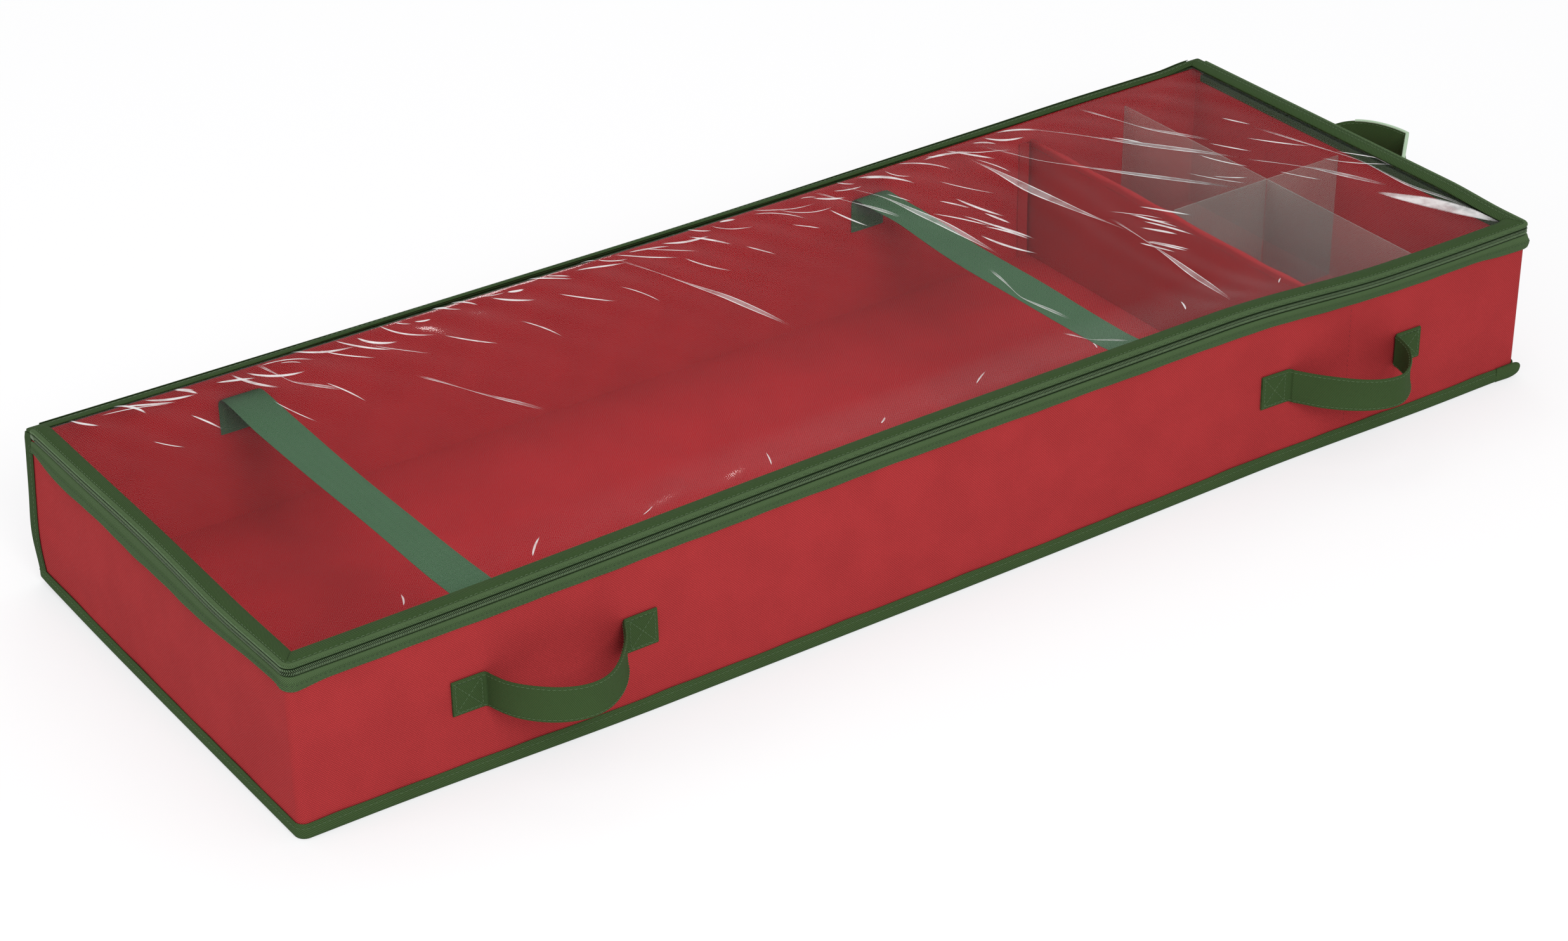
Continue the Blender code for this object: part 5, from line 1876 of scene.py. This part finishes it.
@dataclass
class Divider:
    """The fabric sleeve over the divider's board, and the clear partitions of the small bay."""

    half: float = 0.0019
    thick: float = 0.0006
    fold_height: float = 0.0018
    flap_radius: float = 0.0030

    def sleeve(self) -> list[Piece]:
        """Makes the sleeve: two faces that bow apart a little under a soft folded top.

        Returns:
            The sleeve and the stitches under its fold.
        """
        half_depth = SIZES.half_depth + SIZES.lining_inner - SIZES.gap
        rows, foot, shoulder = 16, SIZES.fixture_foot, SIZES.divider_top - self.fold_height
        up = np.linspace(foot, shoulder, rows)
        fold = np.linspace(0, math.pi, 9)[1:-1]
        out = np.concatenate([np.full(rows, self.half), self.half * np.cos(fold), np.full(rows, -self.half)])
        top = np.concatenate([up, shoulder + self.fold_height * np.sin(fold), up[::-1]])
        thin, inner_top = self.half - self.thick, SIZES.divider_top - 0.0007
        inner = np.array([(-thin, foot), (-thin, inner_top), (thin, inner_top), (thin, foot)])
        profile = np.concatenate([np.stack([out, top], 1), inner])
        y = np.linspace(-half_depth, half_depth, 110)
        outer = (np.arange(len(profile)) < len(out)).astype(float)[:, None]
        ends = eased((half_depth - np.abs(y)) / 0.03)
        rise = ((profile[:, 1] - foot) / 0.1)[:, None]
        slow, quick = 0.0004 * np.sin(y * 62.0), 0.0003 * np.sin(y * 150.0)
        puff = outer * ends * (0.0005 + slow * np.sin(np.pi * rise) + quick * rise**3)
        x = SIZES.divider_x + profile[:, 0][:, None] + np.sign(profile[:, 0])[:, None] * puff
        crest = 0.0004 * np.sin(y * 37.0) + 0.0003 * np.sin(y * 95.0 + 1.0)
        z = profile[:, 1][:, None] + outer * rise**6 * ends * crest
        grid = settled(lattice(x, y, z))
        sleeve = make_piece("divider_cloth", tube(grid, round_run(profile), y), "red_divider")
        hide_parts("divider_sleeve")
        made = []
        for side in (-1, 1):
            reach = np.linspace(-half_depth + 0.004, half_depth - 0.004, 80)
            line = lattice(SIZES.divider_x + side * (self.half + 0.0006), reach, SIZES.divider_top - 0.0052)
            made.append(stitches(settled(line), (side, 0, 0), 0.0038, 0.0027))
        return [sleeve, make_piece("divider_stitches", joined(made), "red_thread")]

    def end_flaps(self) -> Piece:
        """Makes the sleeve's ends, turned along the walls and sewn there: a quarter fold and a flat leg.

        Returns:
            The piece.
        """
        patches = []
        wall, radius = SIZES.half_depth + SIZES.lining_inner - SIZES.gap, self.flap_radius
        angle = np.linspace(0, math.pi / 2, 7)[::-1]
        x = SIZES.divider_x + np.concatenate([[-0.0125, -0.0085], -0.0024 - radius * np.sin(angle)])
        y = wall + np.concatenate([[0.0, 0.0], -radius * (1 - np.cos(angle))])
        z = np.linspace(SIZES.fixture_foot, SIZES.divider_top - 0.001, 24)
        for side in (-1, 1):
            outer, inner = np.stack([x, side * (y - 0.0001)], 1), np.stack([x, side * (y - 0.0007)], 1)
            plan = np.concatenate([outer, inner[::-1]])
            grid = lattice(plan[:, 0][:, None] + 0.0003 * np.sin(z * 90.0 + side), plan[:, 1][:, None], z)
            patches.append(tube(settled(grid), round_run(plan), z))
        return make_piece("divider_end_flaps", joined(patches), "red_divider")

    def build(self) -> list[Piece]:
        """Makes the sleeve and its flaps, and dresses the partitions.

        Returns:
            The pieces.
        """
        for name in ("long_partition", "cross_partition"):
            dress_node(name, "frosted_sheet")
        return carried([*self.sleeve(), self.end_flaps()], "case")


@dataclass
class Handle:
    """A carrying handle: a folded strip, flat on the wall at both ends, with a loop between."""

    body: str
    place: Spot
    out: Span
    reach: float
    lift: float
    # Whether a pale bead paints the highlight along the strip's top edge.
    painted_edge_highlight: bool = False
    length: float = 0.150
    width: float = 0.025
    thick: float = 0.0016
    tab: float = 0.0245
    foot_radius: float = 0.003
    peak: float = 0.0
    powers: Span = (0.75, 0.75)
    bulge: float = 0.0
    creased: float = 0.0
    cup: float = 0.0012
    wave: float = 0.0005
    sewn: float = 0.030
    freed_over: float = 0.02

    @property
    def ahead(self) -> Array:
        """Returns the direction out from the wall."""
        return np.array([*self.out, 0.0])

    @property
    def beside(self) -> Array:
        """Returns the direction along the wall."""
        return np.array([-self.out[1], self.out[0], 0.0])

    def free(self, run: Array) -> Array:
        """Returns 0 on the tabs and 1 on the loop, for distances along the strip."""
        return eased((run - self.sewn) / self.freed_over) * eased((run[-1] - self.sewn - run) / self.freed_over)

    def waved(self, run: Array) -> Array:
        """Returns how far the loop's edges wave in and out along the strip."""
        return self.free(run) * self.wave * np.sin(run * 80.0 + self.place[0] * 20)

    def half_line(self, side: int) -> Array:
        """Returns the centre line from one end to the loop's peak.

        Out is a power of a cosine of the distance from the peak. A power below 1 rises steeply from a
        quarter turn at the foot, and a higher one leaves the wall in a gentle curve. The higher side
        bulges over its foot by half a sine wave. The lower side is straight by the share of the crease.

        Args:
            side: -1 for the lower end along the wall, and 1 for the higher.

        Returns:
            Rows of along and out.
        """
        power = self.powers[0 if side < 0 else 1]
        top = (self.length / 2 - self.tab) * self.peak
        room = self.length / 2 - self.tab - side * top
        radius, foot_share = 0.0, 1.0
        if power < 1:
            radius = self.foot_radius
            foot_share = math.acos((radius / self.reach) ** (1 / power)) * 2 / math.pi
        start = room * foot_share + radius
        rows = [np.stack([np.linspace(self.length / 2 - side * top, start, 12)[:-1], np.zeros(11)], 1)]
        if radius:
            angle = np.linspace(0, math.pi / 2, 7)[:-1]
            rows.append(np.stack([start - radius * np.sin(angle), radius * (1 - np.cos(angle))], 1))
        share = foot_share * np.sin(math.pi / 2 * np.linspace(1, 0, 29))
        out = self.reach * np.cos(math.pi / 2 * share) ** power
        over = self.bulge * np.sin(np.pi * np.clip(out / self.reach, 0, 1)) if side > 0 else 0.0
        if side < 0:
            out = out + self.creased * (self.reach * (1 - share) - out)
        rows.append(np.stack([room * share + over, out], 1))
        half = np.concatenate(rows)
        half[:, 0] = top + side * half[:, 0]
        return half

    def line(self) -> Array:
        """Returns the centre line as distances along, out and up, where up is a share of out."""
        whole = np.concatenate([self.half_line(-1), self.half_line(1)[-2::-1]])
        return np.concatenate([whole, whole[:, 1:2] * self.lift], 1)

    def placed(self, line: Array) -> Array:
        """Returns rows of along, out and up as points in the box's frame."""
        flat = line[:, 0:1] * self.beside + line[:, 1:2] * self.ahead
        return np.array(self.place) + flat + line[:, 2:3] * UP

    def centre(self) -> tuple[Array, Array, Array]:
        """Returns the strip's centre line in the box's frame.

        Returns:
            The line's points, the strip's normals and the distances along it.
        """
        line = self.line()
        flat = line[:, 0:1] * self.beside + line[:, 1:2] * self.ahead
        points = self.placed(line)
        return points, np.cross(unit(np.gradient(flat, axis=0)), UP), run_length(points)

    def strip(self) -> Patch:
        """Returns the folded strip: a flat band that keeps its thickness out to the sewn edges and rounds off there.

        Across the loop it cups by a parabola and waves by a slow sine.

        Returns:
            The patch.
        """
        points, normal, run = self.centre()
        across, face = band(19)
        body = (1 - np.abs(across) ** 14) * 0.8 + 0.2 + 0.18 * bell((np.abs(across) - 0.93) / 0.05)
        height = face[:, None] * body[:, None] * self.thick / 2
        height = height + self.free(run) * self.cup * (across**2)[:, None] + self.waved(run) * across[:, None]
        grid = points + normal * height[..., None] + UP * (across[:, None] * self.width / 2)[..., None]
        down = np.concatenate([np.linspace(0, 0.025, 19), np.linspace(0.0266, 0.0516, 19), [0.053]])
        return tube(self.on_wall(grid), down, run)

    def on_wall(self, points: Array) -> Array:
        """Returns points moved as the wall behind them has settled."""
        wall = np.array(self.place) * np.abs(self.ahead) + points * (1 - np.abs(self.ahead))
        return points + settled(wall) - wall

    def rows(self) -> Patch:
        """Returns the stitches: along both long edges on both faces, and a crossed box on each tab.

        Returns:
            The patch with all the stitches.
        """
        points, normal, run = self.centre()
        made, thread = [], (0.00042, 0.00008)
        free, wave = self.free(run)[:, None], self.waved(run)[:, None]
        for share in (-0.86, 0.86):
            for face in (-1, 1):
                lift = face * (self.thick / 2 + 0.00012) + free * (self.cup * share**2) + wave * share
                row = points + normal * lift + UP * share * self.width / 2
                made.append(stitches(self.on_wall(row), normal * face, 0.0034, 0.0024, *thread))
        half = self.width / 2 * 0.80
        near, far = self.length / 2 - 0.0022, self.length / 2 - self.tab + 0.0035
        a, b, c, d = (far, -half), (far, half), (near, half), (near, -half)
        for side in (-1, 1):
            corners = np.array([a, b, c, a, d, b, c, d]) * [side, 1]
            spots = self.placed(lattice(corners[:, 0], 0.0, 0.0))
            spots = spots + self.ahead * (self.thick / 2 + 0.00015) + UP * corners[:, 1:2]
            for i in range(len(spots) - 1):
                row = self.on_wall(dense(spots[i:i + 2]))
                made.append(stitches(row, self.ahead, 0.0031, 0.0022, *thread))
        return joined(made)

    def highlight_bead(self) -> Patch:
        """Returns the painted highlight along the top of the strip: a pale bead with an oval section.

        Returns:
            The patch, along the loop's lower side and over its peak.
        """
        points, normal, run = self.centre()
        angle, size = circle(10)[:, None, None], 0.0014
        middle = points + UP * (self.width / 2 + 0.0002) + normal * self.free(run)[:, None] * self.cup
        grid = middle + size * (np.cos(angle) * normal + 0.7 * np.sin(angle) * UP)
        keep = slice(13, len(points) - 29)
        return tube(self.on_wall(grid[:, keep]), np.linspace(0, 0.006, 11), run[keep])

    def build(self) -> list[Piece]:
        """Makes the handle's pieces and hides the imported parts that they replace.

        Returns:
            The pieces.
        """
        pieces = [
            make_piece(self.body + "_strip", self.strip(), "green_handle"),
            make_piece(self.body + "_stitches", self.rows(), "thread"),
        ]
        # The pale bead paints the highlight on the top edge.
        if self.painted_edge_highlight:
            pieces.append(make_piece(self.body + "_painted_edge_highlight", self.highlight_bead(), "painted_edge_highlight"))
        ends = ("front", "rear") if self.body == "end_handle" else ("left", "right")
        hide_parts(self.body + "_loop", *(self.body + "_tab_" + end for end in ends))
        for piece in pieces:
            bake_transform(piece)
        return pieces


@dataclass
class Slider:
    """The zip slider, with its crown, and the pull tab that swings in it."""

    length: float = 0.012
    height: float = 0.0074
    plate_low: float = 0.0020
    plate_high: float = 0.0032
    place_y: float = 0.1604
    crown_reach: float = 0.0030
    crown_rise: float = 0.0029
    pull_out: float = 0.0043

    def plate(self) -> Patch:
        """Returns the outer plate: a rounded shield, wider at the leading end, with a rounded rim.

        Its outline is a superellipse of power 3 whose half height grows along it, and rings of that
        outline, drawn in at the rim, close over both faces.

        Returns:
            The patch.
        """
        angle = circle(40)
        along = squared(np.cos(angle), 2 / 3) * self.length / 2
        up = squared(np.sin(angle), 2 / 3) * self.height / 2 * (0.90 - 0.10 * along / (self.length / 2))
        scale = np.array([0.02, 0.6, 0.88, 0.97, 1.0, 1.0, 0.97, 0.6, 0.02])
        depth = np.array([1.0, 1.0, 0.96, 0.75, 0.45, 0.15, 0.0, 0.0, 0.0])
        out = self.plate_low + (self.plate_high - self.plate_low) * depth
        y, z = self.place_y + along[:, None] * scale, SIZES.zip_middle + up[:, None] * scale
        return tube(lattice(SIZES.half_length + out, y, z), np.linspace(0, 0.03, 41), np.linspace(0, 0.008, 9))

    def block(self, low: Spot, high: Spot, soft: float) -> Patch:
        """Returns a rounded block between two corners: a superellipse carried along X with soft ends.

        Args:
            low: the lowest corner.
            high: the highest corner.
            soft: how far the ends draw in.

        Returns:
            The patch.
        """
        low_at, high_at = np.array(low), np.array(high)
        middle, half = (low_at + high_at) / 2, (high_at - low_at) / 2
        angle = circle(28)[:, None]
        share = np.array([-1.0, -0.94, -0.7, 0.7, 0.94, 1.0])
        scale = np.array([1 - soft, 1 - soft * 0.3, 1.0, 1.0, 1 - soft * 0.3, 1 - soft])
        y = middle[1] + half[1] * squared(np.cos(angle), 0.4) * scale
        z = middle[2] + half[2] * squared(np.sin(angle), 0.4) * scale
        return tube(lattice(middle[0] + half[0] * share, y, z), np.linspace(0, 0.03, 29), share * half[0])

    def crown(self) -> Patch:
        """Returns the crown: an oval bar bent in an arch over the plate, for the pull to hang on.

        The arch rises by a sine to the power 0.6, and its section is an ellipse.

        Returns:
            The patch.
        """
        share = np.linspace(0, 1, 17)
        along = self.place_y + self.crown_reach * np.cos(np.pi * share)
        out = SIZES.half_length + 0.0030 + self.crown_rise * np.sin(np.pi * share) ** 0.6
        line = lattice(out, along, SIZES.zip_middle)
        side = np.cross(unit(np.gradient(line, axis=0)), UP)
        angle = circle(12)[:, None, None]
        grid = line + 0.00045 * np.cos(angle) * side + 0.0010 * np.sin(angle) * UP
        return tube(grid, np.linspace(0, 0.004, 13), run_length(line))

    def body(self) -> Piece:
        """Makes the slider's body: outer plate, thin bridge, inner plate and crown in one piece.

        Returns:
            The piece.
        """
        face, y = SIZES.half_length, self.place_y
        inner = self.block((face - 0.0015, y - 0.006, 0.1190), (face - 0.0006, y + 0.006, 0.1239), 0.06)
        bridge = self.block((face - 0.0008, y - 0.0058, 0.1211), (face + 0.0022, y + 0.0058, 0.1217), 0.02)
        patch = joined([self.plate(), bridge, inner, self.crown()])
        piece = make_piece("zip_slider", patch, "enamel", 45.0)
        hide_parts("slider_body")
        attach(piece, "slider")
        return piece

    def pull(self) -> Piece:
        """Makes the pull tab: a rounded plate with a raised rim and a window at the crown's bar.

        Rings lead from the window's outline to the tab's outline, over the front, round the edge and
        back over the rear face.

        Returns:
            The piece.
        """
        angle = circle(48)
        long_half, wide_half = 0.0130, 0.0040
        middle, eye_middle = 0.0005 - long_half, -0.0005 - 0.00275
        waist = 1 - 0.12 * (np.cos(angle) > 0.6)
        high = squared(np.sin(angle), 0.6)
        outline = np.stack([middle + long_half * squared(np.cos(angle), 0.35), wide_half * high * waist], 1)
        eye = np.stack([eye_middle + 0.00270 * squared(np.cos(angle), 0.6), 0.0021 * high], 1)
        share = np.array([0.0, 0.06, 0.45, 0.80, 0.90, 0.97, 1.0, 1.0, 0.97, 0.80, 0.45, 0.06, 0.0])
        depth = np.array([0.55, 0.8, 0.8, 0.8, 1.0, 0.95, 0.5, -0.5, -0.95, -1.0, -0.8, -0.8, -0.55]) * 0.0005
        along = eye[:, 0:1] + (outline[:, 0:1] - eye[:, 0:1]) * share
        up = eye[:, 1:2] + (outline[:, 1:2] - eye[:, 1:2]) * share
        grid = lattice(SIZES.half_length + self.pull_out + depth, self.place_y + along, SIZES.zip_middle + up)
        ring = np.concatenate([grid, grid[:, :1]], 1)
        patch = tube(ring, np.linspace(0, 0.06, 49), np.linspace(0, 0.02, 14), capped=False)
        piece = make_piece("zip_pull", patch, "enamel", 45.0)
        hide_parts("pull_tab")
        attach(piece, "pull")
        return piece

    def build(self) -> list[Piece]:
        """Makes the slider and its pull and returns them."""
        return [self.body(), self.pull()]


@dataclass
class Studio:
    """The pale floor, the soft lights and the camera."""

    camera_at: Spot = (-1.27024, -1.79381, 1.27155)
    right: Spot = (0.818839, -0.573970, -0.007768)
    down: Spot = (-0.292646, -0.405778, -0.865854)
    forward: Spot = (0.493823, 0.711268, -0.500237)
    lens: float = 80.96
    ambient: float = 0.70
    paper: Colour = (0.80, 0.81, 0.82)
    shadow_share: Colour = (0.36, 0.35, 0.34)
    glow: Colour = (0.63, 0.64, 0.655)
    floor_half: float = 9.0
    floor_level: float = -0.0002

    def camera(self) -> None:
        """Adds the camera at the photograph's place, from its right, down and forward directions."""
        data = bpy.data.cameras.new("camera")
        data.lens, data.sensor_width, data.sensor_fit = self.lens, 36.0, "HORIZONTAL"
        data.clip_start, data.clip_end = 0.05, 60.0
        camera = bpy.data.objects.new("camera", data)
        axes = np.eye(4)
        axes[:3, 0], axes[:3, 1], axes[:3, 2] = self.right, -np.array(self.down), -np.array(self.forward)
        axes[:3, 3] = self.camera_at
        camera.matrix_world = Matrix(axes.tolist())
        bpy.context.scene.collection.objects.link(camera)
        bpy.context.scene.camera = camera

    def lamp(self, name: str, at: Spot, size: float, power: float) -> None:
        """Adds a square area lamp that points at the box.

        Args:
            name: the lamp's name.
            at: its place.
            size: its side.
            power: its power in watts.
        """
        data = bpy.data.lights.new(name, "AREA")
        data.shape, data.size, data.energy = "SQUARE", size, power
        lamp = bpy.data.objects.new(name, data)
        back = np.array(at) / np.linalg.norm(at)
        side = np.cross([0.0, 1.0, 0.0], back)
        side /= np.linalg.norm(side)
        up = np.cross(back, side)
        heading = Matrix(np.stack([side, up, back], 1).tolist())
        lamp.matrix_world = Matrix.Translation(at) @ heading.to_4x4()
        bpy.context.scene.collection.objects.link(lamp)

    def floor(self) -> None:
        """Adds the floor: pale, with its own soft lift for the camera so that it reads white."""
        mesh = bpy.data.meshes.new("studio_floor")
        corners = np.array([(-1, -1), (1, -1), (1, 1), (-1, 1)]) * self.floor_half
        mesh.from_pydata(lattice(*corners.T, self.floor_level).tolist(), [], [(0, 1, 2, 3)])
        floor = bpy.data.objects.new("studio_floor", mesh)
        bpy.context.scene.collection.objects.link(floor)
        material = bpy.data.materials.new("studio_floor")
        desk = NodeDesk(material)
        paper, shaded, glow = (desk.node("ShaderNode" + kind) for kind in ("BsdfDiffuse", "BsdfDiffuse", "Emission"))
        for shader, colour in ((paper, self.paper), (shaded, self.shadow_share), (glow, self.glow)):
            desk.feed(shader.inputs["Color"], colour)
        seen = desk.seen()
        both, chosen = desk.node("ShaderNodeAddShader"), desk.node("ShaderNodeMixShader")
        for socket, source in zip(both.inputs, (shaded.outputs[0], glow.outputs[0])):
            desk.feed(socket, source)
        for socket, source in zip(chosen.inputs, (seen, paper.outputs[0], both.outputs[0])):
            desk.feed(socket, source)
        desk.feed(desk.output.inputs["Surface"], chosen.outputs[0])
        mesh.materials.append(material)

    def world(self) -> None:
        """Sets the world: even soft light, and plain white where it is seen or mirrored."""
        world = bpy.data.worlds.new("studio")
        bpy.context.scene.world = world
        desk = NodeDesk(world, "ShaderNodeOutputWorld")
        background = desk.node("ShaderNodeBackground")
        desk.feed(background.inputs["Color"], (1.0, 1.0, 1.0))
        desk.feed(background.inputs["Strength"], desk.ramp(desk.seen(), 0.0, 1.0, self.ambient, 1.0))
        desk.feed(desk.output.inputs["Surface"], background.outputs[0])

    def build(self) -> None:
        """Adds the floor, the world, the lamps and the camera."""
        bpy.context.scene.view_settings.view_transform = "Standard"
        self.floor()
        self.world()
        self.lamp("key", (-0.85, -2.65, 1.9), 1.3, 47.0)
        self.lamp("side", (-2.7, 0.3, 1.5), 1.2, 10.5)
        self.lamp("top", (0.35, 0.75, 2.5), 1.5, 8.0)
        self.lamp("glint", (1.20, 2.75, 1.15), 0.30, 4.0)
        self.camera()


def handles() -> list[Handle]:
    """Returns the three handles, with the places of their swing axes.

    Returns:
        The handles.
    """
    on_wall = 0.0011
    front, end = -SIZES.half_depth - on_wall, SIZES.half_length + on_wall
    forwards, sideways = (0.0, -1.0), (1.0, 0.0)
    return [
        Handle(
            "front_left_handle", (-0.3297, front, 0.0612), forwards, 0.0515, 0.05,
            peak=-0.08, powers=(0.56, 1.04), bulge=0.002,
        ),
        Handle(
            "front_right_handle", (0.3340, front, 0.0617), forwards, 0.0430, -0.08,
            peak=0.26, powers=(0.97, 0.62), bulge=0.0014,
        ),
        Handle(
            "end_handle", (end, 0.0, 0.0915), sideways, 0.0488, 0.30,
            painted_edge_highlight=True, peak=-0.15, powers=(1.0, 0.24), creased=1.0,
        ),
    ]


def main() -> None:
    """Builds every part of the organizer in order and reports each piece."""
    logging.basicConfig(level=logging.INFO, format="%(message)s")
    for maker in (CaseShell(), Boards(), CaseBindings(), ZipSides(), Lid(), Straps(), Divider(), *handles(), Slider()):
        for piece in maker.build():
            log.info("%s: %s, %d faces", type(maker).__name__, piece.name, len(piece.data.polygons))
    dress_node("divider_board", "chipboard")
    Studio().build()


if __name__ == "__main__":
    main()
